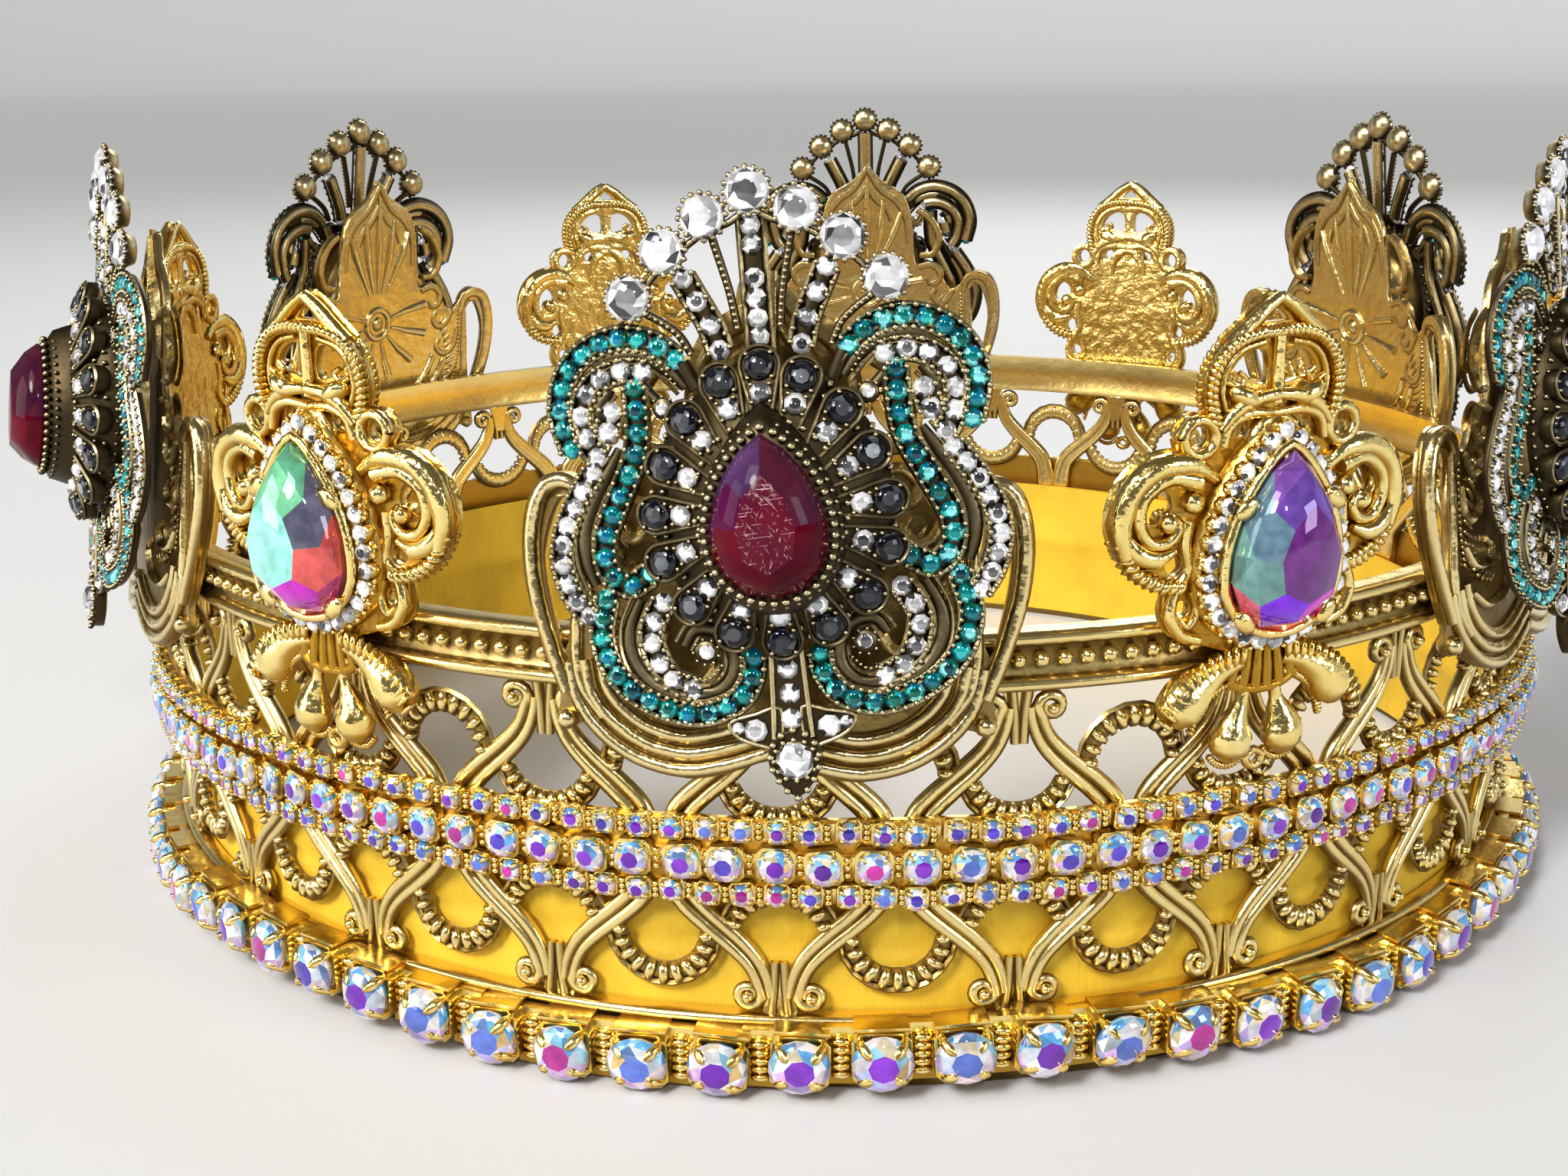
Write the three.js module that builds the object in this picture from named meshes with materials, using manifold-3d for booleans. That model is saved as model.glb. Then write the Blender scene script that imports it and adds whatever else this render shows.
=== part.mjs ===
// A full-circle jeweled crown: a pierced wall of scroll bars, twelve ornaments standing on its rail,
// a three-row band of small stones round its middle and a chain of large stones round its base.
// Millimetres, +Z up, origin at the centre of the base. The wearer's front faces -Y.
// Three.js makes the shapes, and manifold-3d only joins and cuts them.

import * as THREE from 'three';
import { mergeVertices } from 'three/addons/utils/BufferGeometryUtils.js';
import Module from 'manifold-3d';

const wasm = await Module();
wasm.setup();

// ---------------------------------------------------------------- driving dimensions
const WALL_R = 90.0;              // outer radius of the pierced wall
const WALL_T = 1.4;
const FACETS = 48;                // flat panels round the wall and its bands
const PANELS = 24;                // flat panels of the thin plates in front of the wall
const GAP = 0.3;                  // clearance between separate pieces
const PITCH_DEG = 15;             // one repeat of the scroll lattice
const REPEATS = 360 / PITCH_DEG;

const BASE_Z = 0;                 // underside of the wall, which the crown rests on
const RIM_TOP = 7.9;              // top of the plain rim strip behind the base chain
const RAIL_LOW = 41.4;
const RAIL_TOP = 47.4;
const RAIL_R = 91.0;              // crest radius of the two rail ribs
const RAIL_GROOVE_R = 90.4;
const RAIL_CHAMFER = 0.6;
const MIRROR_Z = RIM_TOP + RAIL_LOW;   // lower tier height = this - upper tier height

const LINING_T = 1.0;
const LINING_LOW = 1.4;
const LINING_TOP = 24.4;

const CHAIN_STONES = 72;
const CHAIN_STRETCHES = 12;
const CHAIN_TURN_DEG = -1.1;      // the chain's joins fall beside the ornaments, not under them
const CUP_PITCH_DEG = 4.9;        // a little tight, which leaves a gap between stretches
const CUP_DEPTH = 4.4;
const CUP_TAPER = 0.55;
const CHAIN_Z = 3.7;

const ORNAMENTS = 6;              // of each kind, alternating every 30 degrees
const MEDAL_Z = 60.3;             // height of each ruby's middle
const PLATE_T = 1.6;
const FRAME_R = RAIL_R + GAP;     // inner face of the medallion frames and fleurs
const BOSS_R = FRAME_R + PLATE_T + GAP;      // back of the boss that each brooch is riveted by
const BOSS_T = 3;
const BROOCH_R = BOSS_R + BOSS_T;
const BROOCH_T = 2.2;
const BOSS_SIZE = [8, 9.6];       // half width and half height
const BOSS_SIDES = 8;
const LEAN_DEG = 7;               // medallions lean in towards their tops, about the rail's top edge
const FLOWER_TOP_R = 103.4;       // crest of the domed petal mount under the ruby
const FLOWER_TAPER = 0.6;
const FLOWER_SUNK = 0.6;          // how far the petal mount is let into its plate
const RUBY_TOP_R = 107.4;
const PETALS = 14;
const FLOWER_SIZE = [11.4, 13.1]; // half width and half height of the ring of petals
const FLOWER_RISE = 0.4;          // how far its middle lies above the ruby's
const RUBY_SIZE = [4.9, 6.9, -6.9, -1.8];    // half width, apex, foot and widest line from its middle
const PEAR_SIZE = [6.5, 8.9, -9.1, -3.2];
const HALO_SIZE = [9, 11.4, -11, -3.4];
const PEAR_Z = 55.5;              // height of each pear stone's middle
const PEAR_SEAT_R = 95.0;
const PEAR_TOP_R = 99.6;
const GIRDLE_T = 1.2;             // upright edge of a ruby or pear stone, below its sloping facets
const TABLE_SHARE = 0.56;         // size of their tables
// Each brooch is riveted by hand, so each one sits a little rolled on its frame.
const BROOCH_ROLL_DEG = [4.9, -1.2, 0.8, -0.6, 1.5, -0.9];

// ---------------------------------------------------------------- materials
const metal = (color, roughness) => new THREE.MeshStandardMaterial({ color, roughness, metalness: 1 });
const gem = (color) => new THREE.MeshStandardMaterial({ color, roughness: 0.08, metalness: 0.2 });
const PALE_GOLD = metal(0xc9a75a, 0.3);
const BRIGHT_GOLD = metal(0xdca944, 0.22);
const ANTIQUE_GOLD = metal(0x6f5f3c, 0.42);
const RUBY_RED = gem(0x5a0a1c);
const AURORA = gem(0xb9a6e0);
const RIBBON = new THREE.MeshStandardMaterial({ color: 0xd9a92e, roughness: 0.75, metalness: 0 });

// ---------------------------------------------------------------- solids from geometries
function solid(geometry) {
  const bare = geometry.clone();
  bare.deleteAttribute('normal');
  bare.deleteAttribute('uv');
  const merged = mergeVertices(bare, 1e-4);
  const triVerts = merged.index
    ? new Uint32Array(merged.index.array)
    : Uint32Array.from({ length: merged.attributes.position.count }, (_, i) => i);
  const mesh = new wasm.Mesh({
    numProp: 3, vertProperties: new Float32Array(merged.attributes.position.array), triVerts,
  });
  mesh.merge();
  return new wasm.Manifold(mesh);
}

function geometryOf(manifold) {
  const mesh = manifold.getMesh();
  const geometry = new THREE.BufferGeometry();
  geometry.setAttribute('position', new THREE.BufferAttribute(new Float32Array(mesh.vertProperties), 3));
  geometry.setIndex(new THREE.BufferAttribute(new Uint32Array(mesh.triVerts), 1));
  return geometry;
}

function joined(solids) {
  return solids.reduce((whole, next) => whole.add(next));
}

// A ring about Z from a closed profile of [radius, z] points, listed so that its outer side runs upwards.
// The front, and every repeat of the wall, falls on the middle of a panel.
function ring(profile, facets = FACETS) {
  const points = [...profile, profile[0]].map(([r, z]) => new THREE.Vector2(r, z));
  const lathe = new THREE.LatheGeometry(points, facets);
  lathe.rotateX(Math.PI / 2);
  lathe.rotateZ(Math.PI / facets);
  return solid(lathe);
}

// A hollow drum whose panels, and not their corners, lie at the two radii.
function shell(rIn, rOut, zLow, zTop, facets = PANELS) {
  const out = 1 / Math.cos(Math.PI / facets);
  return ring([[rIn * out, zTop], [rIn * out, zLow], [rOut * out, zLow], [rOut * out, zTop]], facets);
}

// An outline of [across, height] points as a prism that runs outwards between two distances from the
// crown's axis, at the given angle round the crown (0 is the front).
function prism(outline, near, far, angleDeg = 0) {
  return outward(extruded(outline, far - near), near, angleDeg);
}

function extruded(outline, depth) {
  const shape = new THREE.Shape(outline.map(([u, z]) => new THREE.Vector2(u, z)));
  return new THREE.ExtrudeGeometry(shape, { depth, bevelEnabled: false });
}

// Stands a geometry that was modelled flat, with its height along Y and its depth along Z, on the crown.
function outward(geometry, near, angleDeg) {
  geometry.translate(0, 0, near);
  geometry.rotateX(Math.PI / 2);
  geometry.rotateZ(THREE.MathUtils.degToRad(angleDeg));
  return solid(geometry);
}

// A tapered block between two outlines with the same number of points.
function frustum(outline, near, far, shrink, angleDeg = 0) {
  const [cu, cz] = middle(outline);
  const geometry = extruded(outline, far - near);
  const place = geometry.attributes.position;
  for (let i = 0; i < place.count; i += 1) {
    if (place.getZ(i) > (far - near) / 2) {
      place.setX(i, cu + (place.getX(i) - cu) * shrink);
      place.setY(i, cz + (place.getY(i) - cz) * shrink);
    }
  }
  return outward(geometry, near, angleDeg);
}

function middle(outline) {
  const box = new THREE.Box2().setFromPoints(outline.map(([u, z]) => new THREE.Vector2(u, z)));
  const centre = box.getCenter(new THREE.Vector2());
  return [centre.x, centre.y];
}

// The right half of an outline, listed from its top point down to its bottom point, made whole.
function symmetric(rightHalf) {
  const left = rightHalf.filter(([u]) => u > 0).reverse().map(([u, z]) => [-u, z]);
  return [...rightHalf, ...left].reverse();
}

const raised = (outline, dz) => outline.map(([u, z]) => [u, z + dz]);

function rolled(outline, degrees) {
  const c = Math.cos(THREE.MathUtils.degToRad(degrees));
  const s = Math.sin(THREE.MathUtils.degToRad(degrees));
  return outline.map(([u, z]) => [u * c - z * s, u * s + z * c]);
}

function oval(halfWidth, halfHeight, sides, cu = 0, cz = 0) {
  return Array.from({ length: sides }, (_, i) => {
    const a = ((i + 0.5) / sides) * 2 * Math.PI;
    return [cu + halfWidth * Math.cos(a), cz + halfHeight * Math.sin(a)];
  });
}

// A pear-cut outline, apex up: a half oval below its widest line and two bowed sides above it.
const BOW_ACROSS = 0.85;          // powers that round the shoulders of its sides
const BOW_DOWN = 1.15;

function pear(halfWidth, top, bottom, widest, perSide = 3) {
  const right = [[0, top]];
  for (let i = 1; i < perSide; i += 1) {
    const t = i / perSide;
    right.push([halfWidth * Math.sin(t * Math.PI / 2) ** BOW_ACROSS, top + (widest - top) * t ** BOW_DOWN]);
  }
  for (let i = 0; i < perSide; i += 1) {
    const a = (i / perSide) * Math.PI / 2;
    right.push([halfWidth * Math.cos(a), widest + (bottom - widest) * Math.sin(a)]);
  }
  right.push([0, bottom]);
  return symmetric(right);
}

// ---------------------------------------------------------------- pierced wall
const CUTTER_REACH = 6;           // a cutter runs this far to both sides of the wall

// The gaps of one repeat, [across, z]: under the rail beside the scroll heads, under each arch, and
// under each pair of scroll heads. The lower tier is their mirror image.
const GAP_BY_SCROLLS = [[6.9, RAIL_LOW], [6.3, 36.3], [0, 39.4], [-6.3, 36.3], [-6.9, RAIL_LOW]];
const GAP_UNDER_ARCH = [[-3.8, 33.6], [-1.2, 30], [1.2, 30], [3.8, 33.6], [0, 36.2]];
const GAP_ONION = [[0, 36.8], [-4.6, 32.2], [-2.4, 30.3], [2.4, 30.3], [4.6, 32.2]];

function filigreeBand() {
  const inner = WALL_R - WALL_T;
  const blank = ring([
    [inner, RAIL_TOP], [inner, BASE_Z], [WALL_R, BASE_Z], [WALL_R, RAIL_LOW],
    [RAIL_R, RAIL_LOW + RAIL_CHAMFER], [RAIL_GROOVE_R, (RAIL_LOW + RAIL_TOP) / 2],
    [RAIL_R, RAIL_TOP - RAIL_CHAMFER],
  ]);
  const lowered = (outline) => outline.map(([u, z]) => [u, MIRROR_Z - z]).reverse();
  const cutters = [];
  for (let i = 0; i < REPEATS; i += 1) {
    const node = i * PITCH_DEG;
    const between = node + PITCH_DEG / 2;
    for (const [outline, angle] of [
      [GAP_BY_SCROLLS, between], [GAP_UNDER_ARCH, between], [GAP_ONION, node],
      [lowered(GAP_BY_SCROLLS), between], [lowered(GAP_ONION), node],
    ]) {
      cutters.push(prism(outline, WALL_R - CUTTER_REACH, WALL_R + CUTTER_REACH, angle));
    }
  }
  return blank.subtract(joined(cutters));
}

function lining() {
  const outer = (WALL_R - WALL_T - GAP) * Math.cos(Math.PI / PANELS);
  return shell(outer - LINING_T, outer, LINING_LOW, LINING_TOP);
}

// Section of the three-row stone band, [out from its back, z]: a wide row of larger stones, with a
// narrow row below it and another above.
const BAND_SECTION = [[0, 29.7], [0, 20.1], [2.1, 21], [1.4, 23], [2.9, 24.9], [1.4, 26.9], [2.1, 28.8]];

function stoneBand() {
  return ring(BAND_SECTION.map(([out, z]) => [WALL_R + GAP + out, z]));
}

// A stretch of the base chain: large stones in claw cups, each cup joined to the next by its side tabs.
const CUP = [[4.12, -2], [4.12, 2], [0, 3.6], [-4.12, 2], [-4.12, -2], [0, -3.6]];

function baseChain() {
  const count = CHAIN_STONES / CHAIN_STRETCHES;
  const cup = raised(CUP, CHAIN_Z);
  const back = WALL_R + GAP;
  return joined(Array.from({ length: count }, (_, i) => frustum(
    cup, back, back + CUP_DEPTH, CUP_TAPER, (i - (count - 1) / 2) * CUP_PITCH_DEG)));
}

// ---------------------------------------------------------------- medallions
// Lyre-shaped frame: a pointed leaf, two hooked arms and a bottom of two rounded lobes.
const FRAME_HALF = [
  [0, 21], [2.4, 18.4], [7, 15.8], [8.6, 10.8], [9, 2.6], [15.5, -1], [17.4, 0.6], [20.2, 2.2], [23, 0.6],
  [24.4, -4], [23.8, -9.8], [21.2, -17], [21.2, -21], [20, -22.4], [18.4, -21.8], [14.1, -24.9],
  [8, -26.6], [0, -24.5],
];

// Brooch silhouette below its fan: upper scrolls, waist tails, lower scrolls, side leaves and pendant drop.
const BROOCH_HALF = [
  [13.4, 17.2], [17.5, 16], [20.1, 12.3], [20.1, 7.8], [18.7, 3.9], [21.1, -0.6], [21.5, -4.9], [18.5, -9.9],
  [17.7, -13.3], [15.4, -17.7], [10.4, -20.2], [6.5, -19.9], [2.8, -22.4], [1.9, -25.7], [0, -26.6],
];
const FAN_STONES = [[0, 27.9], [4.1, 26], [8, 23.3], [11.4, 19.5]];
const FAN_STONE_R = 2.2;
const FAN_ROOT = [0, 6];
const SCALLOP_TURN = 0.62;        // radians from a stone's outermost point to each end of its scallop

// Two points round the outer side of each stone of the fan.
function fanScallops() {
  return FAN_STONES.flatMap(([u, z]) => {
    const away = Math.atan2(z - FAN_ROOT[1], u - FAN_ROOT[0]);
    return [SCALLOP_TURN, -SCALLOP_TURN].map((turn) => [
      u + FAN_STONE_R * Math.cos(away + turn), z + FAN_STONE_R * Math.sin(away + turn)]);
  }).filter(([u]) => u > 0);
}

// A thin plate that follows the crown's curve, cut to an outline. Its blank is a drum deeper and
// taller than any ornament.
const BLANK_DEPTH = 20;
const BLANK_LOW = 20;
const BLANK_TOP = 100;

function plate(outline, near, thickness) {
  const drum = shell(near, near + thickness, BLANK_LOW, BLANK_TOP);
  return prism(outline, near - BLANK_DEPTH, near + BLANK_DEPTH).intersect(drum);
}

function medallionFrame() {
  return plate(raised(symmetric(FRAME_HALF), MEDAL_Z), FRAME_R, PLATE_T);
}

// The brooch is a curved silhouette with a dome of petals on it and a boss behind it, and all of it is
// rolled a little.
function brooch(roll) {
  const placed = (outline) => raised(rolled(outline, roll), MEDAL_Z);
  const silhouette = placed(symmetric([...fanScallops(), ...BROOCH_HALF]));
  const petals = placed(oval(FLOWER_SIZE[0], FLOWER_SIZE[1], PETALS, 0, FLOWER_RISE));
  const flower = frustum(petals, BROOCH_R + BROOCH_T - FLOWER_SUNK, FLOWER_TOP_R, FLOWER_TAPER);
  const boss = plate(placed(oval(...BOSS_SIZE, BOSS_SIDES)), BOSS_R, BOSS_T + FLOWER_SUNK);
  return joined([plate(silhouette, BROOCH_R, BROOCH_T), flower, boss]);
}

// A tall pear-cut stone: a short upright girdle and a crown that slopes in to its table.
function pearStone([halfWidth, apex, foot, widest], seat, top, centreZ, roll = 0) {
  const outline = raised(rolled(pear(halfWidth, apex, foot, widest), roll), centreZ);
  const girdle = seat + GIRDLE_T;
  return joined([prism(outline, seat, girdle), frustum(outline, girdle, top, TABLE_SHARE)]);
}

// ---------------------------------------------------------------- fleurs
// Pointed onion top, ring loops, side scroll lobes, small lower loops, and the stem over the rail.
const FLEUR_HALF = [
  [0, 78.3], [2.4, 75.7], [5.6, 74], [7.4, 70.4], [6.7, 67.6], [9.6, 67.4], [10.4, 64.4], [14, 63.6],
  [17, 59.6], [16.2, 54.4], [11.6, 51.4], [10.9, 47.6], [8.6, 45.6], [3.6, 44], [3.6, 40.2], [0, 39.6],
];
const RELIEF_FROM = 0.4;          // back and face of the leaves and drops, out from the plate's back
const RELIEF_TO = 2.8;
const HALO_FROM = 1;
const HALO_TAPER = 0.92;
const LEAF = [[2.4, 43.6], [7, 42.6], [11, 39.8], [11, 36.9], [8.2, 35.6], [5.4, 37.4], [3.4, 40.4]];
const DROP = [[1.3, 40], [3.4, 40], [5.3, 35.4], [4, 33.2], [1.6, 33], [0.5, 35.4]];

function fleur() {
  const mirrored = (outline) => outline.map(([u, z]) => [-u, z]).reverse();
  const relief = [LEAF, DROP].flatMap((outline) => [outline, mirrored(outline)])
    .map((outline) => prism(outline, FRAME_R + RELIEF_FROM, FRAME_R + RELIEF_TO));
  const rim = raised(pear(...HALO_SIZE), PEAR_Z);
  const halo = frustum(rim, FRAME_R + HALO_FROM, PEAR_SEAT_R - GAP, HALO_TAPER);
  return joined([plate(symmetric(FLEUR_HALF), FRAME_R, PLATE_T), halo, ...relief]);
}

// ---------------------------------------------------------------- the crown
const crown = new THREE.Group();

function place(name, geometry, material, angleDeg = 0, holder = crown) {
  const mesh = new THREE.Mesh(geometry, material);
  mesh.name = name;
  mesh.rotation.z = THREE.MathUtils.degToRad(angleDeg);
  holder.add(mesh);
}

// A holder that stands at an angle round the crown and leans in about the rail's top edge.
function leaning(angleDeg) {
  const turned = new THREE.Group();
  turned.rotation.z = THREE.MathUtils.degToRad(angleDeg);
  const hinge = new THREE.Group();
  hinge.position.set(0, -FRAME_R, RAIL_TOP);
  hinge.rotation.x = -THREE.MathUtils.degToRad(LEAN_DEG);
  const holder = new THREE.Group();
  holder.position.set(0, FRAME_R, -RAIL_TOP);
  crown.add(turned.add(hinge.add(holder)));
  return holder;
}

place('filigree_band', geometryOf(filigreeBand()), PALE_GOLD);
place('lining', geometryOf(lining()), RIBBON);
place('stone_band', geometryOf(stoneBand()), AURORA);

const stretch = geometryOf(baseChain());
for (let i = 0; i < CHAIN_STRETCHES; i += 1) {
  const angle = (i + 0.5) * 360 / CHAIN_STRETCHES + CHAIN_TURN_DEG;
  place(`base_chain_${String(i + 1).padStart(2, '0')}`, stretch, AURORA, angle);
}

const frame = geometryOf(medallionFrame());
const fleurBody = geometryOf(fleur());
const pearJewel = geometryOf(pearStone(PEAR_SIZE, PEAR_SEAT_R, PEAR_TOP_R, PEAR_Z));
for (let i = 0; i < ORNAMENTS; i += 1) {
  const medalDeg = i * 360 / ORNAMENTS;
  const fleurDeg = medalDeg + 180 / ORNAMENTS;
  const roll = BROOCH_ROLL_DEG[i];
  const ruby = geometryOf(pearStone(RUBY_SIZE, FLOWER_TOP_R + GAP, RUBY_TOP_R, MEDAL_Z, roll));
  const medallion = leaning(medalDeg);
  place(`frame_${i + 1}`, frame, PALE_GOLD, 0, medallion);
  place(`brooch_${i + 1}`, geometryOf(brooch(roll)), ANTIQUE_GOLD, 0, medallion);
  place(`ruby_${i + 1}`, ruby, RUBY_RED, 0, medallion);
  place(`fleur_${i + 1}`, fleurBody, BRIGHT_GOLD, fleurDeg);
  place(`pear_stone_${i + 1}`, pearJewel, AURORA, fleurDeg);
}

export default crown;
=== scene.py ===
"""A jeweled crown: a pierced band of scroll bars, with six ruby brooches and six pear-stone fleurs
on its rail, three rows of small stones round its middle and a chain of large ones at its foot."""

import logging
import math
from collections.abc import Callable, Iterable, Sequence
from dataclasses import dataclass, field, replace
from enum import Enum

import bpy
import numpy as np
from mathutils import Matrix, Vector


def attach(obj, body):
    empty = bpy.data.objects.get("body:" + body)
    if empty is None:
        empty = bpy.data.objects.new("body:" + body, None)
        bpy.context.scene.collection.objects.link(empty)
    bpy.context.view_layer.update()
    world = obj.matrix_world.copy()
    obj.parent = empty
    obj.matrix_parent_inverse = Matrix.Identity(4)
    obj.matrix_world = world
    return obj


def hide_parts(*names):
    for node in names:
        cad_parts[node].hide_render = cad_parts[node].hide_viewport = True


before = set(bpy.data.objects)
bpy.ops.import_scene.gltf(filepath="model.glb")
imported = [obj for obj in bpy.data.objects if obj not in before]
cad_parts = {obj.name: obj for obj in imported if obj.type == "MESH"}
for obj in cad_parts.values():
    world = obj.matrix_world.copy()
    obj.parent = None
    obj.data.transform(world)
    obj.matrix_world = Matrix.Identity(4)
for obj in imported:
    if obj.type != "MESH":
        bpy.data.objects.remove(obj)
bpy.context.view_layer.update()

log = logging.getLogger("crown")

MM = 0.001  # the bench works in millimetres, and the crown stands in metres
WELD = 0.001  # points nearer together than this become one
Colour = tuple[float, float, float]
Point = tuple[float, float]

# ---------------------------------------------------------------- driving dimensions, in mm
WALL_R = 90.0
WALL_BACK_R = 88.6
RIM_TOP = 7.9
RAIL_LOW = 41.4
RAIL_TOP = 47.4
MIRROR_Z = (RIM_TOP + RAIL_LOW) / 2  # the lower tier of scrolls mirrors the upper one about this
REPEATS = 24
PITCH = 2 * math.pi * WALL_R / REPEATS
ORNAMENTS = 6
MEDAL_Z = 60.3
STAND_OFF = 3.0  # how far the brooches stand off their mounts
FRAME_R = 91.3
LEAN = math.radians(7)  # how far the medallions lean in towards their tops


# ---------------------------------------------------------------- loose stock and the bench
@dataclass
class Stock:
    """Loose metal or stone: its points, faces, each face's colour and each point's relief, which
    sets the painted shade and grime on metal.
    """

    points: np.ndarray
    corners: np.ndarray
    counts: np.ndarray
    tint: np.ndarray
    relief: np.ndarray

    def moved(self, matrix: Matrix) -> "Stock":
        """A copy put in place by a matrix.

        Args:
            matrix: the place; a mirroring one also turns the faces, so that they still point out.

        Returns:
            The copy.
        """
        m = np.array(matrix)
        points = self.points @ m[:3, :3].T + m[:3, 3]
        if matrix.determinant() > 0:
            return replace(self, points=points)
        return Stock(points, self.corners[::-1], self.counts[::-1], self.tint[::-1], self.relief)

    def shifted(self, across: float = 0, up: float = 0, out: float = 0) -> "Stock":
        """A copy moved across, up and out of the crown."""
        return self.moved(Matrix.Translation((across, -out, up)))

    def mirrored(self) -> "Stock":
        """A copy with left and right exchanged."""
        return self.moved(Matrix.Diagonal((-1, 1, 1, 1)))

    def turned(self, share: float) -> "Stock":
        """A copy taken a share of the way round the crown's axis."""
        return self.moved(Matrix.Rotation(2 * math.pi * share, 4, "Z"))

    def bent(self, turn: float, radius: float = WALL_R) -> "Stock":
        """A copy rolled from flat onto the crown.

        Args:
            turn: where it goes round the crown, in degrees from the front.
            radius: the radius at which widths stay true.

        Returns:
            The copy, with its depth measured from the crown's axis.
        """
        angle = self.points[:, 0] / radius + math.radians(turn)
        out = -self.points[:, 1]
        points = np.column_stack([out * np.sin(angle), -out * np.cos(angle), self.points[:, 2]])
        return replace(self, points=points)

    def lifted(self, surface: Callable[[np.ndarray, np.ndarray], np.ndarray]) -> "Stock":
        """A copy laid over a surface, which gives how far out it is at each place across and up."""
        points = self.points - np.outer(surface(self.points[:, 0], self.points[:, 2]), (0, 1, 0))
        return replace(self, points=points)

    def painted(self, colours: np.ndarray) -> "Stock":
        """A copy with a colour for each face, or one colour for all of them."""
        tint = np.broadcast_to(np.array(colours, float), (len(self.counts), 3))
        return replace(self, tint=tint)

    def shaded_and_grimed(self, low: float, high: float) -> "Stock":
        """A copy whose relief runs from low at its back to high at its front, so that metal is
        painted darker towards its back, as shade together with grime.
        """
        out = -self.points[:, 1]
        share = (out - out.min()) / max(float(np.ptp(out)), 1e-6)
        return replace(self, relief=low + (high - low) * share)

    def shaded_and_grimed_by_radius(self, low: float, high: float) -> "Stock":
        """A copy whose relief is 0 at one radius and 1 at another, but bright at its back; the low
        relief paints shade, together with grime, deep in the wall.
        """
        out = np.hypot(self.points[:, 0], self.points[:, 1])
        relief = np.where(out < WALL_BACK_R + 0.42, 0.8, (out - low) / (high - low))
        return replace(self, relief=relief)

    @property
    def starts(self) -> np.ndarray:
        """Where in corners each face begins."""
        return np.cumsum(self.counts) - self.counts

    def middles(self) -> np.ndarray:
        """The middle of each face."""
        return np.add.reduceat(self.points[self.corners], self.starts) / self.counts[:, None]

    def facing(self) -> np.ndarray:
        """Straight out from the crown's axis at each face, with the medallions' lean."""
        out = self.points[self.corners[self.starts]] * [1, 1, 0]
        out /= np.maximum(np.linalg.norm(out, axis=1), 1e-9)[:, None]
        return out * math.cos(LEAN) + np.array([0, 0, math.sin(LEAN)])

    def facets(self) -> np.ndarray:
        """The direction in which each face points, as unit vectors."""
        here = self.points[self.corners]
        after = np.arange(1, len(self.corners) + 1)
        after[self.starts + self.counts - 1] = self.starts
        normals = np.add.reduceat(np.cross(here, here[after]), self.starts)
        return normals / np.maximum(np.linalg.norm(normals, axis=1), 1e-12)[:, None]


def circle(count: int, radius: float = 1, turn: float = 0) -> np.ndarray:
    """Corners evenly round a circle, from a turn given in steps."""
    a = (np.arange(count) + turn) * 2 * math.pi / count
    return radius * np.column_stack([np.cos(a), np.sin(a)])


def stood(name: str, data: bpy.types.ID) -> bpy.types.Object:
    """A new object in the scene that shows some data."""
    thing = bpy.data.objects.new(name, data)
    bpy.context.scene.collection.objects.link(thing)
    return thing


def leaning(stock: Stock, share: float) -> Stock:
    """Leans a medallion in about the rail's top edge, and takes it a share of the way round."""
    hinge = Matrix.Translation((0, -FRAME_R, RAIL_TOP))
    lean = hinge @ Matrix.Rotation(-LEAN, 4, "X") @ hinge.inverted()
    return stock.moved(lean).turned(share)


def echoed(relief: Stock, face: float, back: float) -> Stock:
    """The relief of a face, pressed flatter and turned to the back of its plate."""
    there, press = Matrix.Translation((0, -back, 0)), Matrix.Diagonal((1, -0.45, 1, 1))
    return relief.moved(there @ press @ Matrix.Translation((0, face, 0)))


def pile(parts: Iterable[Stock]) -> Stock:
    """Joins stock into one piece.

    Args:
        parts: what to join.

    Returns:
        One stock that holds all of it.
    """
    parts = list(parts)
    starts = np.cumsum([0] + [len(p.points) for p in parts[:-1]])
    return Stock(
        np.concatenate([p.points for p in parts]),
        np.concatenate([p.corners + s for p, s in zip(parts, starts)]),
        np.concatenate([p.counts for p in parts]),
        np.concatenate([p.tint for p in parts]),
        np.concatenate([p.relief for p in parts]),
    )


def evenly(values: float | Sequence[float], count: int) -> np.ndarray:
    """So many values that run evenly through the given ones."""
    return np.interp(
        np.linspace(0, 1, count), np.linspace(0, 1, np.size(values)), np.atleast_1d(values)
    )


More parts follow.
